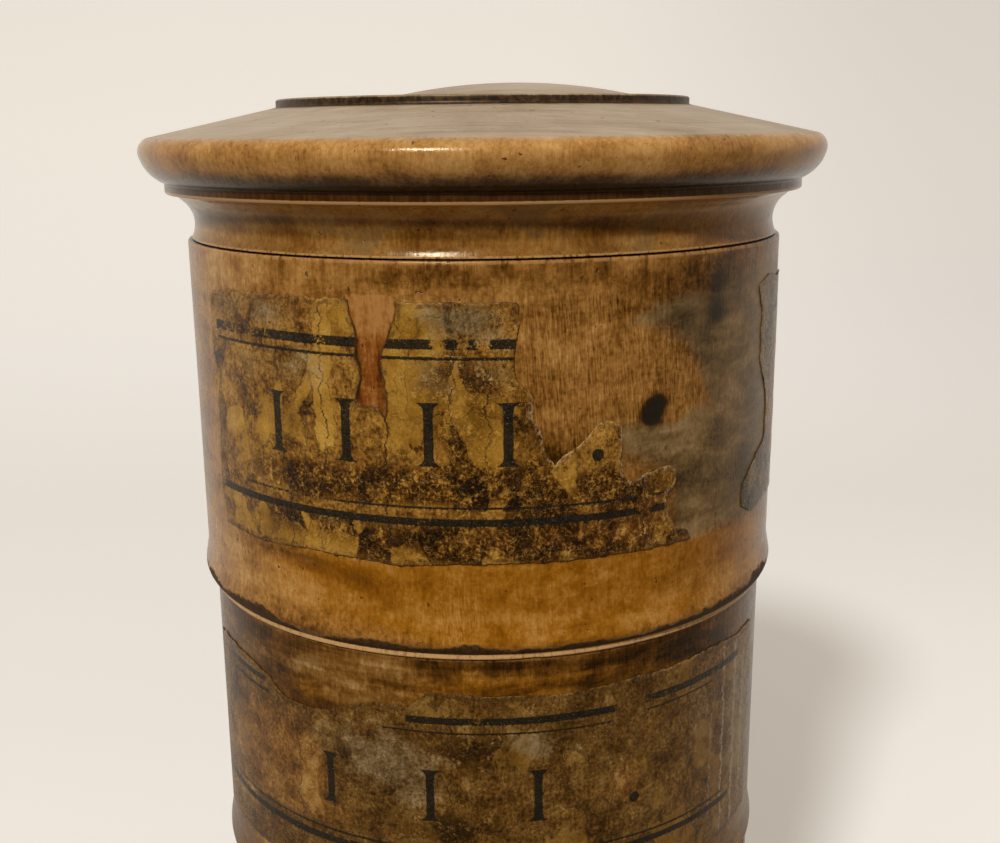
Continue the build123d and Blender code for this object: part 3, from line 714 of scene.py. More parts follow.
def build_cup_wood(name, cup):
    """Sycamore under old varnish: golden on the top cup, and darker on those below it."""
    low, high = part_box(name + "_tier")
    base = low.z / mm
    shoulder = high.z / mm - spigot_height
    golden = cup["slot"] == "golden_wood"
    wood, t = new_material(name + "_sycamore")
    place = t.millimetres()
    x, y, z = t.split(place)
    up = z - base
    depth = shoulder - z
    radius = (x * x + y * y) ** 0.5

    broad = t.cloud(place, (15, 15, 11), 3, 0.55)
    smear = t.cloud(place, (9, 9, 3.0), 5, 0.64, 0.4)
    mottle = t.cloud(place, (3.4, 3.4, 4.2), 5, 0.66)
    speck = t.cloud(place, (0.55, 0.55, 0.7), 4, 0.66)
    streak = t.cloud(place, (0.6, 0.6, 6.5), 3, 0.6)
    leaning = t.node("ShaderNodeVectorRotate", {0: place, "Angle": 0.07}, rotation_type="Y_AXIS")
    pores = t.cloud(leaning, (0.2, 0.2, 2.0), 3, 0.62)
    pits = t.cloud(place, (0.8, 0.8, 1.0), 2, 0.5)

    # Grain runs up the wall, strongest where varnish and paper have gone
    bare = (t.painted("grain") + smear.sway(0.8)).rise(0.15, 0.75)
    grey = (t.painted("grey") + smear.sway(1.0) + mottle.sway(0.5)).rise(0.3, 0.8)
    grain = (streak.sway(0.3) + pores.sway(0.3 + bare * 0.65)) * (1 - grey * 0.55)
    stain = smear.sway(0.8) + mottle.sway(0.8 - bare * 0.35) + speck.sway(0.7) + broad.sway(0.4)
    tone = 0.5 + grain + stain + t.painted("pale") * 0.22 - t.painted("dark") * 0.42
    tone = tone + (1 - depth.rise(3, 9)) * 0.07
    drips = (t.cloud(place, (1.0, 1.0, 9), 3, 0.6) + speck.sway(0.5)).rise(0.5, 0.64)
    tone = tone - drips * (1 - depth.rise(0.2, 4.2)) * 0.16
    if golden:
        stops = ((0, (0.01, 0.005, 0.001)), (0.2, (0.055, 0.02, 0.0015)), (0.4, (0.152, 0.061, 0.009)),
                 (0.55, (0.25, 0.11, 0.022)), (0.75, (0.37, 0.184, 0.046)), (1, (0.54, 0.34, 0.13)))
    else:
        smeared_round = t.cloud(place, (16, 16, 1.6), 4, 0.6, 0.5)
        tone = tone - 0.08 + (smeared_round - 0.5) * (1 - depth.rise(5, 9)) * 0.9 + broad.sway(0.5)
        stops = ((0, (0.006, 0.003, 0.0008)), (0.2, (0.03, 0.011, 0.001)), (0.4, (0.078, 0.029, 0.0028)),
                 (0.55, (0.13, 0.052, 0.0065)), (0.75, (0.21, 0.1, 0.022)), (1, (0.36, 0.21, 0.08)))
    colour = t.ramp(tone, *stops)
    ochre = (t.painted("ochre") + smear.sway(0.9) + mottle.sway(0.4)).rise(0.2, 0.7)
    honey = t.ramp(tone + 0.06, (0, (0.1, 0.032, 0.001)), (0.4, (0.215, 0.074, 0.0015)),
                   (0.6, (0.3, 0.115, 0.006)), (1, (0.47, 0.25, 0.065)))
    colour = t.blend(ochre * 0.85, colour, honey)
    smeared = tone + t.cloud(leaning, (7, 7, 2.2), 4, 0.6, 0.3).sway(1.1)
    ash = t.ramp(smeared, (0.05, (0.04, 0.023, 0.009)), (0.4, (0.128, 0.079, 0.03)),
                 (0.62, (0.208, 0.134, 0.055)), (1, (0.36, 0.25, 0.13)))
    colour = t.blend(grey * 0.9, colour, ash)
    rubbed = (t.painted("rubbed") + speck.sway(0.3)).rise(0.4, 0.6)
    fresh = tone - 0.1 + (1 - (depth + mottle.sway(3)).rise(7.0, 10.5)) * 0.22 + streak.sway(0.7)
    skinned = t.ramp(fresh, (0.1, (0.09, 0.018, 0.002)), (0.4, (0.21, 0.067, 0.009)),
                     (0.7, (0.36, 0.165, 0.045)))
    colour = t.blend(rubbed, colour, skinned)
    burn = (t.painted("dark") + speck.sway(0.35) + pores.sway(0.3)).rise(0.55, 1.05)
    colour = t.blend(burn * 0.94, colour, (0.014, 0.01, 0.006))
    nicks = pits.rise(0.71, 0.76) * (0.35 + mottle)
    colour = t.darken(nicks * 0.85, colour, (0.16, 0.09, 0.05))

    # Soot lies in the corner above the lip, and the lip itself is worn to pale wood
    if name == "bottom":
        soot = (up + mottle.sway(0.8)).band(3.6, 5.4, 0.3)
        lip = up.band(0, 0.4, 0.1)
    else:
        reach = 1.35 + t.painted("soot") + mottle.sway(3.2) + smear.sway(2.6) + speck.sway(1.2)
        soot = up.rise(0.66, 0.8) * (1 - (up - reach).rise(-0.2, 0.3))
        lip = (up + speck.sway(0.2)).band(0.0, 0.7, 0.05)
    black = t.blend(speck.rise(0.42, 0.62), (0.012, 0.006, 0.002), (0.042, 0.02, 0.007))
    colour = t.blend(soot * 0.94, colour, black)
    ticks = (pores * 0.4 + streak * 0.2 + speck * 0.4).rise(0.5, 0.62)
    lip_wood = t.blend(ticks * 0.8, (0.55, 0.32, 0.13), (0.2, 0.086, 0.018))
    colour = t.blend(lip * radius.rise(38, 38.5) * 0.95, colour, lip_wood)
    # The cup's top edge is pale, partly worn wood and partly a painted highlight where the edge catches the
    # light.
    top_edge = (depth + speck.sway(0.3)).band(-0.1, 0.46, 0.08) * radius.rise(39, 39.3)
    worn_and_lit_edge = (0.42, 0.21, 0.07) if golden else (0.2, 0.1, 0.035)
    colour = t.blend(top_edge * streak.rise(0.36, 0.54) * 0.6, colour, worn_and_lit_edge)
    # Right at the seam the rounded edge is painted near black, a painted shade in the joint with grime in
    # it.
    seam_shade_and_grime = (1 - (depth + speck.sway(0.08)).rise(0.04, 0.1)) * radius.rise(39, 39.3)
    colour = t.blend(seam_shade_and_grime, colour, (0.006, 0.002, 0.001))

    inside = 1 - radius.rise(39.0, 39.15)
    raw = t.blend(smear.rise(0.3, 0.7), (0.42, 0.27, 0.135), (0.29, 0.165, 0.07))
    stained = t.blend((up + broad.sway(16)).rise(10, 34), (0.17, 0.085, 0.03), raw)
    raw = t.blend(1 - radius.rise(31.8, 32.2), raw, stained)
    colour = t.blend(inside, colour, t.darken(pores.rise(0.52, 0.68) * 0.5, raw, (0.5, 0.4, 0.3)))

    roughness = 0.24 + mottle.sway(0.3) + speck.sway(0.2) + grey * 0.08 + bare * 0.06
    roughness = roughness + inside * 0.3 + soot * 0.4
    height = speck.sway(0.6) + pores.sway(0.3 + bare * 0.5) + mottle.sway(0.8) - nicks
    finish_surface(t, colour, roughness, height, 0.09 * mm, 0.7)
    return wood


bore = 31.5
floor_thickness = 5.0
foot_recess = 1.5
foot_ring = 36
foot_fillet = 42.6
for name, cup in cups.items():
    low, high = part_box(name + "_tier")
    base = low.z / mm
    wall = cup["wall"]
    shoulder = (high.z / mm - spigot_height) - base
    brim = shoulder + spigot_height

    # From the middle of the floor, up the inside, over the spigot and out to the wall
    floor = (foot_recess if name == "bottom" else socket_depth) + floor_thickness
    walk = Outline(base).to(0, floor).line(bore - 3, floor, 8)
    walk.arc((bore - 0.88, floor + 0.88), (bore, floor + 3), 6)
    walk.line(bore, brim - 0.3, 12).line(bore + 0.3, brim, 1, 0.2)
    walk.line(spigot_radius - 0.6, brim, 3, 0.3).line(spigot_radius, brim - 0.6, 2, 0.4)
    walk.threaded(shoulder + thread_margin, thread_length, 0, 1).line(spigot_radius, shoulder + 0.1, 30)
    walk.plain().line(spigot_radius + 0.1, shoulder, 1).line(wall - 0.36, shoulder, 5, 0.3)
    walk.arc((wall - 0.105, shoulder - 0.105), (wall, shoulder - 0.36), 4, 0.6)
    if name == "bottom":
        # A cove, a fillet and a torus, and a recess inside the ring that the tower stands on
        walk.line(wall, 8.6, 40).arc((wall + 0.76, 5.91), (foot_fillet, 4.8), 10)
        walk.line(foot_fillet, 3.85, 3, 0.3).line(42.95, 3.8, 1).arc((44.6, 1.9), (43.0, 0), 14, 0.4)
        walk.line(foot_ring + 0.2, 0, 5, 0.2).line(foot_ring, 0.2, 1)
        walk.line(foot_ring, foot_recess, 2).line(0, foot_recess, 10)
    else:
        # A bead and a worn lip, and the screwed socket
        walk.line(wall, 5.2, 42).line(wall + 0.4, 2.8, 4).arc((wall + 0.42, 1.8), (wall - 0.45, 0.8), 12)
        walk.line(wall - 0.5, 0.72, 1).line(wall - 0.48, 0.15, 4, 0.4).to(wall - 0.65, 0, 0.5)
        walk.line(socket_radius + mouth_chamfer, 0, 3, 0.2).line(socket_radius, mouth_chamfer, 2, 0.2)
        walk.threaded(thread_margin, thread_length, 0.5, -1).line(socket_radius, socket_depth, 30)
        walk.plain().line(0, socket_depth, 10)
    wood = walk.turn(name + "_cup_wood", build_cup_wood(name, cup), cup["seed"], out_of_round=0.12)
    x, y, z = points_of(wood.data).T
    around = np.degrees(np.arctan2(x, -y))
    for layer in ("grey", "dark", "pale", "ochre", "grain", "rubbed", "soot"):
        paint(wood.data, layer, around, base + shoulder - z, wall, cup.get(layer, []))
    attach(wood, cup["body"])
    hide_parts(name + "_tier")
    cup["slot"]
    cup["wood"] = wood
    cup["shoulder"] = base + shoulder


# The labels: strips of printed rag paper pasted round the cups, brown with varnish and handling,
# cracked, rubbed and torn. Each has a double rule above and below and its cup's number.
#
# A rule is (left angle, right angle, depth at its left, depth at its right, width, boldness), and
# a crack or a crease is (angle, top, foot, width, strength).
labels = {
    "top_label": {
        "cup": "top", "slot": "tan_paper", "seed": 5, "aged": 0,
        "outline": [
            (-57, 5.6), (-50, 4.7), (-30, 4.5), (5.2, 4.6), (5.3, 7.2), (5, 8.8), (4.4, 10.2), (4.4, 12.2),
            (4.7, 13.4), (6.1, 14.3), (7.2, 15.5), (7.6, 18), (8.9, 20.6), (9.8, 22.7), (11, 23.6),
            (12, 22.7), (14.9, 21.5), (16.4, 20.5), (18.2, 19), (20.4, 18.8), (22.5, 19.4), (22.6, 21.4),
            (22.2, 23.6), (23, 26), (24.6, 26.5), (26.7, 25.9), (29.4, 25.5), (32, 25.2), (33.6, 26),
            (33.5, 27.6), (31.8, 28.6), (31.6, 30.5), (32.2, 32), (33.6, 33.4), (36.4, 34.1), (37.4, 35.3),
            (24, 35.2), (13, 35.4), (0, 35.2), (-15, 35.7), (-30, 35.2), (-44, 35.7), (-56, 35.4),
            (-57.5, 30), (-56.4, 22), (-57.3, 13),
        ],
        "tears": [
            [(-22.6, 3), (-22.1, 6), (-21, 7.6), (-20.7, 9), (-21.1, 11.1), (-20.4, 12.5), (-20.3, 13.7),
            (-21.2, 15.4), (-21.5, 16.4), (-20, 16.8), (-18, 16.5), (-17, 17.2), (-16.5, 18), (-16.1, 17),
            (-16.1, 15), (-16.3, 13.6), (-17, 12.3), (-16.9, 11.1), (-16.6, 9.9), (-15.3, 8.2),
            (-14.2, 6.2), (-14.4, 3)],
        ],
        "rules": [
            (-54.7, -20.8, 9.25, 9.35, 1.15, 0), (-20, 5.2, 9.35, 9.3, 1.15, 0),
            (-54.3, 5, 10.85, 10.95, 0.36, 0), (-55, 31.3, 28.35, 28.5, 0.28, -0.05),
            (-55.5, 31.5, 30.1, 30.25, 0.92, 0),
        ],
        "stems": (-37.5, -23.4, -9.3, 3.4), "dot": 18.2, "stem_top": 16, "stem_foot": 23.5,
        "stem_width": 1.15,
        "cracks": [
            (-45.5, 12, 23.5, 0.1, 0.7), (-27.5, 5, 26, 0.11, 1), (-35.1, 27, 35.4, 0.09, 0.9),
            (-16.4, 17, 35.6, 0.13, 1.1), (-54.6, 22, 31, 0.1, 0.4), (0.2, 12, 24, 0.12, 0.8),
            (-5.4, 9, 21, 0.08, 0.9), (-3, 9.5, 14, 0.08, 0.7), (-31.5, 17, 27, 0.07, 0.6),
            (-21, 24, 31, 0.07, 0.5), (7.6, 24, 29, 0.07, 0.6), (27, 26, 35, 0.16, 1),
        ],
        "worn": [
            (-46, 9.3, 6, 1.6, 0.34), (-28, 9.6, 1, 1.6, 0.3), (-7.4, 9.4, 0.9, 1.3, 0.6),
            (-3.7, 9.4, 0.8, 1.3, 0.55), (-0.4, 9.4, 0.8, 1.3, 0.55), (-32, 28.4, 5, 0.7, 0.35),
            (-50, 28.4, 5, 0.7, 0.3), (-5, 20, 2.2, 2, 0.25), (27, 29.5, 1, 2, 0.6),
            (-9, 30.2, 2.5, 1, 0.2), (-24, 19, 2, 3, 0.1),
        ],
        "yellow": [
            (-24.4, 6.8, 2.4, 2.2, 1), (-25, 6.8, 2.5, 1.7, 0.5), (-10.6, 7, 3, 2.4, 1),
            (-33, 19, 6, 6, 0.55), (-12, 13.5, 4.5, 3.5, 0.6), (-13, 19, 3, 4, 0.6), (-2, 18, 3, 5, 0.7),
            (-38, 33, 6, 2.4, 0.6), (-20, 34, 6, 1.6, 0.5), (2.4, 20, 2.5, 4, 0.5), (-48, 21, 5, 6, 0.3),
            (-1, 7, 4, 2, 0.1), (-47, 33, 6, 3, 0.4),
        ],
        "grime": [
            (-16, 26, 14, 2.2, 0.55), (6, 26, 10, 2.4, 0.6), (-33, 26.4, 5, 1.8, 0.55),
            (0, 32.6, 24, 2.2, 0.75), (18, 33, 14, 2.2, 0.8), (-36, 31.9, 5, 1.4, 0.35),
            (-6, 14.5, 4, 4, 0.45), (-4, 20, 3, 3, 0.3), (22, 28, 10, 3, 0.6), (-48, 25.5, 4, 2, 0.35),
            (-12, 26, 8, 2, 0.3), (10, 16, 3, 6, 0.4), (-25, 32, 4, 2, 0.3), (-2, 18, 7, 6, 0.35),
        ],
        "grey": [
            (-4, 6.6, 5, 2.2, 0.8), (-8, 13, 4, 3, 0.5), (-30, 12, 6, 3, 0.35), (-44, 6.5, 12, 2, 0.5),
            (-44, 14, 8, 4, 0.3), (-12, 31.6, 4, 1.6, 0.4), (2, 12, 3, 3, 0.4), (-27, 31, 6, 1, 0.3),
        ],
        "orange": [
            (-42, 6.2, 8, 1.6, 0.5), (-30, 5.6, 4, 1.6, 0.35), (8, 32, 14, 3, 0.3), (25, 31, 9, 4, 0.4),
            (-36, 18.5, 3, 3, 0.3),
        ],
        "torn": [
            (16, 20, 8, 4, 2), (31, 27, 6, 4, 2), (23, 22, 3, 4, 1.2), (-21.5, 12, 1.6, 8, -0.8),
            (-16, 12, 1.2, 10, -0.8), (-36, 4.6, 14, 1.5, 0.35), (-57, 20, 2, 16, 0.35),
        ],
    },
    "top_label_scrap": {
        "cup": "top", "slot": "tan_paper", "seed": 8, "aged": 0.1,
        "outline": [
            (63, 4.4), (57.4, 5.4), (58, 7), (59.6, 9), (59.3, 12), (59.6, 15.5), (62.5, 18.6), (64.6, 22),
            (63.9, 26.4), (59.6, 27.6), (56.5, 29.2), (53.2, 31), (52.6, 33.6), (57.6, 35.4), (66, 34.6),
            (76, 35.2), (84, 34.4), (86, 28), (83.5, 22), (86.6, 14), (84, 7), (76, 4.8), (70, 5.2),
        ],
        "rules": [(66, 86, 9.3, 9.3, 1, -0.1), (66, 86, 30.2, 30.2, 0.9, 0)],
        "cracks": [(61.5, 7, 16, 0.09, 0.6), (70, 8, 33, 0.1, 1)], "yellow": [(72, 20, 6, 8, 0.4)],
        "grime": [(58, 31, 5, 4, 1.2), (62, 28, 4, 4, 0.9), (72, 33, 8, 2, 0.4)],
        "grey": [(61, 12, 6, 8, 1.4), (58, 31, 8, 6, 1.3)],
        "torn": [(59, 12, 4, 8, 0.2), (56, 31, 5, 4, 0.2)],
    },
    "second_label": {
        "cup": "second", "slot": "dark_paper", "seed": 13, "aged": 0.55,
        "outline": [
            (-71.5, 7.2), (-66, 6.4), (-60, 6.3), (-52, 6.8), (-46, 7.6), (-42, 9.4), (-36, 9.6),
            (-31, 9.2), (-27, 8), (-21, 6.6), (-14.4, 6.8), (-10.8, 4.5), (-2, 4.8), (12, 5.1), (19, 5),
            (27, 4.7), (35, 4.8), (45, 4.4), (57, 5.2), (65.6, 5.4), (66.4, 16), (65.2, 24), (66, 33.2),
            (40, 33.6), (10, 33.1), (-20, 33.6), (-50, 33.1), (-71, 33.5), (-72.4, 24), (-71.2, 16),
        ],
        "stems": (-30.5, -10.8, 8.4), "dot": 27, "stem_top": 15, "stem_foot": 22, "stem_width": 1.05,
        "rules": [
            (-15, 23, 8.3, 8.2, 0.95, -0.02), (27.5, 58, 8, 8, 0.95, -0.1),
            (-19.5, 22, 9.85, 9.9, 0.24, -0.05), (29, 47, 9.5, 9.4, 0.24, -0.08),
            (-63, -20, 26.1, 25.95, 0.3, 0), (-20, 52, 25.95, 27.1, 0.3, 0),
            (-69, -27, 27.6, 27.4, 0.95, 0), (-27, 55, 27.2, 28.3, 0.85, 0),
            (-62, -47, 8.1, 8.3, 0.8, -0.06), (-60, -46, 9.7, 9.9, 0.5, -0.1),
        ],
        "creases": [
            (51.5, 5, 33, 0.25, 0.75), (56.5, 6, 33, 0.4, 0.8), (61, 9, 32, 0.35, 0.7),
            (47, 14, 30, 0.12, 0.6),
        ],
        "cracks": [
            (-7, 5, 24, 0.09, 0.9), (40, 6, 30, 0.08, 1.2), (-38, 14, 30, 0.09, 1), (22, 8, 22, 0.06, 0.8),
        ],
        "worn": [
            (-26, 20.6, 2.6, 1, 0.25), (26, 8.2, 2, 1.6, 0.5), (-31, 16.4, 2.5, 2, 0.12),
            (33, 8.6, 2.2, 1.6, 0.1), (-2, 8.4, 1.2, 1, 0.3), (8.4, 20, 1.4, 2, 0.12),
        ],
        "yellow": [
            (-34, 19.5, 4, 4, 0.3), (4, 12, 10, 3, 0.3), (-4, 6.5, 8, 2, 0.3), (12, 29, 20, 3, 0.4),
            (48, 18, 10, 12, 0.4),
        ],
        "grime": [
            (-3, 12.5, 5, 2.2, 0.5), (8, 11, 6, 2, 0.3), (-8, 23, 10, 3, 0.3), (0, 6, 10, 1.2, 0.35),
            (-18, 24, 12, 2, 0.2),
        ],
        "grey": [
            (-20, 14, 9, 4.5, 0.6), (8, 11.5, 5, 2.2, 0.6), (50, 14, 12, 10, 0.4), (-14, 19, 4, 3, 0.3),
            (62, 20, 5, 14, 0.4),
        ],
        "orange": [
            (-40, 19, 7, 6, 0.7), (-50, 16, 8, 6, 0.5), (-58, 24, 8, 8, 0.4), (26, 19, 3, 4, 0.5),
            (-24, 24, 8, 2, 0.4),
        ],
        "torn": [(40, 4.6, 14, 1.4, 0.6)], "pale": [(64, 18, 7, 20, 0.9), (-62, 26, 6, 10, 0.3)],
    },
    "third_label": {
        "cup": "third", "slot": "dark_paper", "seed": 29, "aged": 0.4,
        "outline": [
            (-72, 5.2), (-50, 4.8), (-20, 5.1), (10, 4.8), (38, 5.2), (52, 5), (58, 7.5), (66, 8.4),
            (65.4, 20), (66, 33.2), (48, 33.5), (44, 31.6), (38, 31), (34, 33.4), (10, 33.1), (-30, 33.5),
            (-71, 33.2), (-72.4, 22),
        ],
        "stems": (-18.5, 3.5), "dot": 19, "stem_top": 15, "stem_foot": 22, "stem_width": 1.05,
        "rules": [
            (-68, 62, 8.2, 8.6, 0.85, -0.02), (-68, 62, 9.8, 10.1, 0.28, 0), (-66, 62, 26.2, 26.1, 0.3, 0),
            (-66, 62, 27.6, 27.6, 0.9, 0),
        ],
        "cracks": [(-30, 6, 30, 0.09, 1), (14, 6, 26, 0.08, 0.9), (46, 8, 30, 0.1, 1.1)],
        "worn": [(-40, 8.6, 5, 2, 0.3), (30, 9, 4, 2, 0.35), (10, 27, 6, 2, 0.2)],
        "yellow": [(-8, 12, 8, 4, 0.5), (30, 20, 8, 6, 0.5), (-48, 22, 8, 6, 0.4)],
        "grime": [(-10, 29.5, 24, 2.4, 0.5), (40, 12, 6, 5, 0.4), (-30, 12, 6, 4, 0.3)],
        "grey": [(-58, 12, 10, 6, 0.6), (56, 24, 8, 8, 0.5)],
        "orange": [(4, 24, 12, 3, 0.4), (-30, 20, 8, 6, 0.3)],
        "torn": [(42, 32, 8, 3, 1.2), (60, 7, 6, 4, 1)],
        "pale": [(0, 20, 44, 12, 0.4), (55, 22, 12, 8, 0.3)],
    },
    "bottom_label": {
        "cup": "bottom", "slot": "dark_paper", "seed": 41, "aged": 0.3,
        "outline": [
            (-72, 5.8), (-40, 5.4), (-8, 5.7), (20, 5.4), (66, 5.8), (65.5, 18), (66.2, 28), (62, 33.8),
            (30, 34.1), (0, 33.7), (-34, 34.1), (-60, 33.8), (-64, 30), (-71, 28.5), (-72.3, 20),
        ],
        "stems": (-7,), "dot": 9, "stem_top": 15.6, "stem_foot": 22.6, "stem_width": 1.05,
        "rules": [
            (-68, 63, 8.9, 8.9, 0.85, 0), (-68, 63, 10.4, 10.5, 0.28, 0), (-66, 63, 27, 26.8, 0.3, 0),
            (-66, 63, 28.4, 28.3, 0.9, -0.03),
        ],
        "cracks": [(-22, 7, 32, 0.09, 1), (30, 7, 30, 0.08, 0.9), (-52, 8, 28, 0.1, 1.1)],
        "worn": [(-30, 9.2, 6, 2, 0.3), (44, 28, 6, 2, 0.3)],
        "yellow": [(-4, 14, 10, 6, 0.6), (40, 16, 8, 6, 0.4), (-50, 20, 8, 6, 0.4)],
        "grime": [(0, 31, 28, 2.4, 0.5), (-40, 12, 6, 4, 0.35), (20, 24, 8, 4, 0.3)],
        "grey": [(54, 12, 10, 6, 0.6), (-60, 16, 8, 8, 0.5)],
        "orange": [(0, 25, 14, 3, 0.4), (26, 12, 8, 5, 0.3)], "torn": [(-66, 30, 8, 4, 1.2)],
        "pale": [(0, 20, 44, 12, 0.4), (-50, 24, 12, 8, 0.3)],
    },
}
paper_layers = ("worn", "yellow", "grime", "grey", "orange", "torn", "pale")


def build_paper(name, label, wall):
    """Old paper: its own colours, the printing on it, and its cracks and torn edges."""
    tan = label["slot"] == "tan_paper"
    paper, t = new_material(name + "_paper")
    along = t.painted("along")
    down = t.painted("down")
    flat = t.node("ShaderNodeCombineXYZ", {0: along, 1: down, 2: float(label["seed"] * 7)})
    patch = t.cloud(flat, (5.5, 5.0, 1), 4, 0.62, 0.3)
    blot = t.cloud(flat, (1.7, 2.0, 1), 5, 0.66, 0.2)
    speck = t.cloud(flat, (0.45, 0.5, 1), 5, 0.7)
    fine = t.cloud(flat, (0.2, 0.24, 1), 2, 0.5)
    fibre = t.cloud(flat, (0.4, 1.8, 1), 4, 0.62)
    wrinkle = 1 - abs(t.cloud(flat, (1.15, 1.3, 1), 3, 0.62, 0.6) - 0.5).rise(0.004, 0.03)
    crackle = 1 - abs(t.cloud(flat, (0.62, 0.8, 1), 2, 0.6, 0.3) - 0.5).rise(0.004, 0.028)

    # The varnish has crazed into tall flat plates, each a little darker or yellower than the next
    bend = t.cloud(flat, (2.0, 2.4, 1), 3, 0.6, colour=True)
    bent = t.vectors("MULTIPLY_ADD", bend, (2.4, 2.6, 0.0), flat)
    cells = {"Vector": t.vectors("DIVIDE", bent, (3.6, 6.4, 1.0)), "Scale": 1.0}
    plate = t.node("ShaderNodeTexVoronoi", cells, out="Color")
    joint = t.node("ShaderNodeTexVoronoi", cells, out="Distance", feature="DISTANCE_TO_EDGE")
    joint_line = (1 - joint.rise(0.006, 0.026)) * (fibre * 0.5 + speck * 0.5).rise(0.42, 0.58)

    # Grime darkens the varnish in patches, with paler wrinkles through it; elsewhere the varnish
    # has a fine dark crackle
    aside = plate - 0.5
    grime = t.painted("grime") + blot.sway(1.5) + patch.sway(1.4) + speck.sway(0.9) - aside * 0.6
    grime = grime.rise(0.3, 0.62)
    yellow = (t.painted("yellow") + blot.sway(0.7) + patch.sway(0.4) + aside * 0.9).rise(0.34, 0.46)
    smooth = 1 - yellow * 0.5
    # The pale marks lift the tone; at the right end of the second label they are a painted sheen, standing
    # for the bright room reflected near that silhouette.
    tone = 0.55 + patch.sway(1.3) + aside * (0.32 if tan else 0.12) + t.painted("pale") * 0.3
    tone = tone + (blot.sway(1.0) + speck.sway(1.4) + fibre.sway(0.5)) * smooth
    flakes = (blot * 0.65 + speck * 0.35).rise(0.55, 0.58) * grime
    tone = tone + yellow * 0.1 - grime * 0.3 + wrinkle * grime * 0.3 + flakes * 0.2
    tone = tone - crackle * (1 - grime) * (patch + (blot - 0.5)).rise(0.42, 0.62) * 0.26 * smooth
    if tan:
        stops = ((0, (0.008, 0.0035, 0.0006)), (0.22, (0.04, 0.015, 0.0013)), (0.4, (0.125, 0.05, 0.005)),
                 (0.56, (0.24, 0.11, 0.015)), (0.76, (0.375, 0.19, 0.03)), (1, (0.5, 0.29, 0.07)))
        varnish = ((0.15, (0.09, 0.038, 0.003)), (0.55, (0.27, 0.128, 0.012)), (1, (0.47, 0.265, 0.04)))
    else:
        stops = ((0, (0.006, 0.0028, 0.0005)), (0.22, (0.028, 0.011, 0.001)), (0.4, (0.07, 0.029, 0.003)),
                 (0.56, (0.12, 0.055, 0.009)), (0.76, (0.2, 0.104, 0.022)), (1, (0.33, 0.2, 0.075)))
        varnish = ((0.15, (0.045, 0.018, 0.001)), (0.55, (0.145, 0.064, 0.006)), (1, (0.28, 0.15, 0.03)))
    colour = t.ramp(tone, *stops)
    colour = t.blend(yellow * 0.7, colour, t.ramp(tone, *varnish))
    orange = (t.painted("orange") + patch.sway(0.9) + blot.sway(0.5)).rise(0.25, 0.65)
    rust = t.ramp(tone, (0, (0.02, 0.007, 0.001)), (0.4, (0.135, 0.048, 0.005)),
                  (0.7, (0.28, 0.125, 0.022)), (1, (0.45, 0.26, 0.08)))
    colour = t.blend(orange * 0.7, colour, rust)
    grey = (t.painted("grey") + patch.sway(1.0) + blot.sway(0.5)).rise(0.25, 0.75)
    ash = t.ramp(tone, (0.05, (0.018, 0.011, 0.005)), (0.35, (0.075, 0.05, 0.021)),
                 (0.6, (0.165, 0.11, 0.046)), (1, (0.34, 0.25, 0.14)))
    colour = t.blend(grey * 0.85, colour, ash)
    freckles = (speck * 0.6 + fine * 0.4).rise(0.575, 0.63)
    colour = t.blend(freckles * 0.4, colour, (0.022, 0.01, 0.002))

    # Cracks and folds run up the paper, broken and uneven
    wander = t.cloud(flat, (30, 2.6, 1), 4, 0.66).sway(3.0) + blot.sway(0.9)

    def upright_lines(lines):
        """1 along each line given as (angle, top, foot, width, strength), wandering and broken."""
        total = 0
        for angle, top, foot, width, strength in lines:
            off = abs(along - math.radians(angle) * wall + wander)
            line = (1 - off.rise(width * 0.3, width * 1.3)) * down.band(top, foot, 0.8) * strength
            total = line.most(total)
        return total * (fibre * 0.6 + speck * 0.4).rise(0.36, 0.56)

    cracks = upright_lines(label["cracks"]).most(joint_line * 0.5)
    colour = t.blend((cracks * 1.1).least(0.92), colour, (0.022, 0.008, 0.002))
    if "creases" in label:
        creases = upright_lines(label["creases"])
        colour = t.blend(creases, colour, (0.42, 0.36, 0.26))

    # The printing: double rules, and upright strokes with bracketed serifs
    rough_down = down + speck.sway(0.42) + fine.sway(0.22)
    rough_along = along + speck.sway(0.36) + fine.sway(0.2)
    wear = t.painted("worn") * 1.3 + speck.sway(1.2) + fine.sway(1.1) + blot.sway(1.0)
    ink = 0
    for left, right, left_depth, right_depth, width, boldness in label["rules"]:
        left, right = (math.radians(angle) * wall for angle in (left, right))
        slope = (right_depth - left_depth) / (right - left)
        line = rough_down - (left_depth + (rough_along - left) * slope)
        rule = line.band(-width / 2, width / 2, 0.05) * rough_along.band(left, right, 0.15)
        ink = (rule * (1 - (wear - boldness * 2).rise(0.4, 0.52))).most(ink)
    if "stems" in label:
        top, foot, width = label["stem_top"], label["stem_foot"], label["stem_width"]
        for angle in label["stems"]:
            off = abs(rough_along - math.radians(angle) * wall)
            to_end = (down - top).least(foot - down)
            bracket = (1 - to_end / 1.25).most(0) ** 3 * 0.85
            stroke = 1 - (off - bracket).rise(width / 2 - 0.05, width / 2 + 0.05)
            stroke = stroke * rough_down.band(top, foot, 0.05)
            ink = (stroke * (1 - wear.rise(0.42, 0.54))).most(ink)
        across = rough_along - math.radians(label["dot"]) * wall
        below = rough_down - (foot - 0.75)
        dot = 1 - ((across * across + below * below) ** 0.5).rise(0.68, 0.8)
        ink = dot.most(ink)
    black = t.blend(fine.rise(0.45, 0.65), (0.0045, 0.0045, 0.003), (0.015, 0.014, 0.009))
    colour = t.blend(ink * 0.96, colour, black)
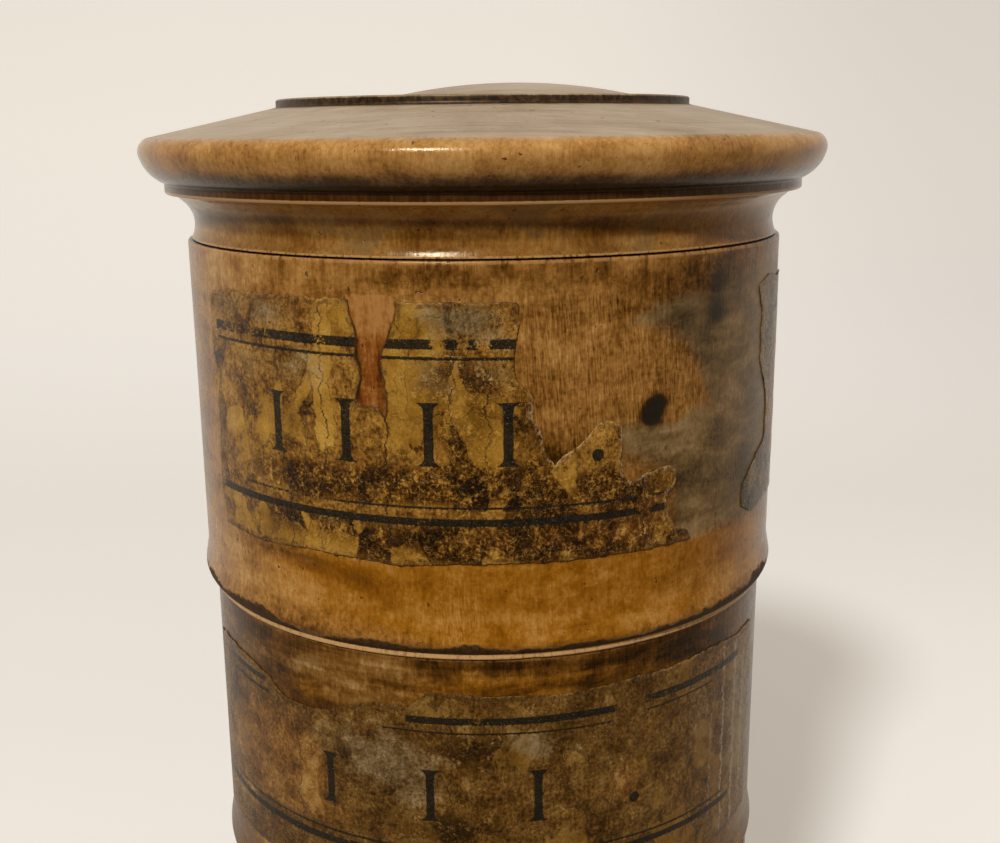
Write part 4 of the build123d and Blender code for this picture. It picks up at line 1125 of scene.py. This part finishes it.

    # The edges: torn ones show the paper's pale core; the others are dark with varnish and grime, and the
    # cut edge of the sheet is painted dark as painted shade, so that it does not catch the light
    edge = t.painted("edge") + speck.sway(0.5) + blot.sway(0.3)
    torn = t.painted("torn")
    sealed = (0.3 - label["aged"] * 0.3 - torn).most(0).least(1)
    varnish_and_edge_shade = (1 - edge.rise(0.06, 0.36)) * sealed * (blot * 0.6 + speck * 0.4).rise(0.38, 0.56)
    colour = t.blend((varnish_and_edge_shade * 1.6).least(0.95), colour, (0.04, 0.012, 0.003))
    dirty = edge.band(0.25, 0.7, 0.15) * blot.rise(0.46, 0.6) * 0.6
    colour = t.blend(dirty, colour, (0.03, 0.013, 0.004))
    feather = edge + blot.sway(1.6) + patch.sway(1.2) + fibre.sway(0.6)
    torn = torn.most(0).least(1)
    core = (1 - feather.rise(0.05, 0.55)) * torn * (speck * 0.5 + fibre * 0.5).rise(0.44, 0.6)
    colour = t.blend(core * 0.8, colour, (0.36, 0.27, 0.14) if tan else (0.25, 0.18, 0.09))
    # The sheet's cut edge is painted dark, a painted shade over the light it catches.
    rim = (1 - edge.rise(0.0, 0.1)) * (1 - torn)
    colour = t.blend(rim * (0.85 - label["aged"]), colour, (0.085, 0.038, 0.009))
    crumpled = blot.sway(0.9) + speck.sway(0.7) + wrinkle * 0.3 - cracks * 0.9 - crackle * 0.15
    roughness = 0.27 + blot.sway(0.35) + speck.sway(0.2)
    finish_surface(t, colour, roughness, crumpled, 0.14 * mm, 0.7)
    return paper


paper_thickness = 0.11
paste_film = 0.02
weave_step = 0.34
well_outside = 60
for name, label in labels.items():
    cup = cups[label["cup"]]
    wall, shoulder = cup["wall"], cup["shoulder"]
    outline = [(math.radians(angle) * wall, down) for angle, down in label["outline"]]
    tears = [
        [(math.radians(angle) * wall, down) for angle, down in tear] for tear in label.get("tears", [])
    ]
    low, high = np.min(outline, axis=0) - 1, np.max(outline, axis=0) + 1
    across = np.arange(low[0], high[0], weave_step)
    drop = np.arange(low[1], high[1], weave_step)
    grid = np.array([(a, d) for a in across for d in drop])
    seed = label["seed"] * 3.1

    def wave(size, octaves, shift=0.0):
        """Smooth noise over the sheet, from about -1 to 1, the same each time."""
        spots = [Vector((a / size, d / size, seed + shift)) for a, d in grid]
        return np.array([noise.fractal(spot, 0.6, 2.0, octaves) for spot in spots])

    ragged = wave(1.6, 4)
    inside = depth_inside(grid, outline) + ragged * 0.2
    for tear in tears:
        inside = np.minimum(inside, ragged * 0.16 - depth_inside(grid, tear))
    near_edge = np.clip(1 - inside / 1.5, 0, 1) ** 2
    ripple = (np.clip(wave(3.2, 3, 5.0), -0.4, 1) * 0.045 + 0.02) * (1 - near_edge)
    curl = near_edge * np.clip(wave(4.0, 2, 9.0) - 0.1, 0, 1) * 0.2
    lift = ripple + curl

    # The sheet: whole squares within the outline, and squares cut off along it
    rows = len(drop)
    points = []
    numbers = {}

    def point(first, second=None):
        """The sheet's point on a grid corner, or where the outline crosses between two corners."""
        key = (first, second) if second is None or first < second else (second, first)
        if key not in numbers:
            numbers[key] = len(points)
            if second is None:
                points.append((*grid[first], inside[first], lift[first]))
            else:
                share = inside[first] / (inside[first] - inside[second])
                place = grid[first] + (grid[second] - grid[first]) * share
                points.append((*place, 0.0, lift[first] + (lift[second] - lift[first]) * share))
        return numbers[key]

    faces = []
    for column in range(len(across) - 1):
        for row in range(rows - 1):
            start = column * rows + row
            corners = (start, start + 1, start + rows + 1, start + rows)
            if max(inside[corner] for corner in corners) <= 0:
                continue
            face = []
            for corner, after in zip(corners, corners[1:] + corners[:1]):
                if inside[corner] > 0:
                    face.append(point(corner))
                if (inside[corner] > 0) != (inside[after] > 0):
                    face.append(point(corner, after))
            faces.append(face)
    along, down, edge, lift_here = np.array(points).T
    around = along / wall
    ground = BVHTree.FromObject(cup["wood"], bpy.context.evaluated_depsgraph_get())
    places = []
    for angle, depth, rise in zip(around, down, lift_here):
        outward = Vector((math.sin(angle), -math.cos(angle), 0))
        height = Vector((0, 0, (shoulder - depth) * mm))
        hit = ground.ray_cast(height + outward * well_outside * mm, -outward)[0]
        reach = (hit - height).length if hit else wall * mm
        places.append(height + outward * (reach + (paste_film + paper_thickness + rise) * mm))
    mesh = bpy.data.meshes.new(name + "_paper")
    mesh.from_pydata(places, [], faces)
    mesh.shade_smooth()
    for layer, value in (("along", along), ("down", down), ("edge", edge)):
        store(mesh, layer, value)
    for layer in paper_layers:
        paint(mesh, layer, np.degrees(around), down, wall, label.get(layer, []))
    sheet = put(name + "_paper", mesh)
    mesh.materials.append(build_paper(name, label, wall))
    solid = sheet.modifiers.new("thickness", "SOLIDIFY")
    solid.thickness = paper_thickness * mm
    solid.offset = -1
    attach(sheet, cup["body"])
    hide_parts(name)
    label["slot"]


visual_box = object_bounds()
{"cad": [list(corner) for corner in cad_box], "visual": [list(corner) for corner in visual_box]}
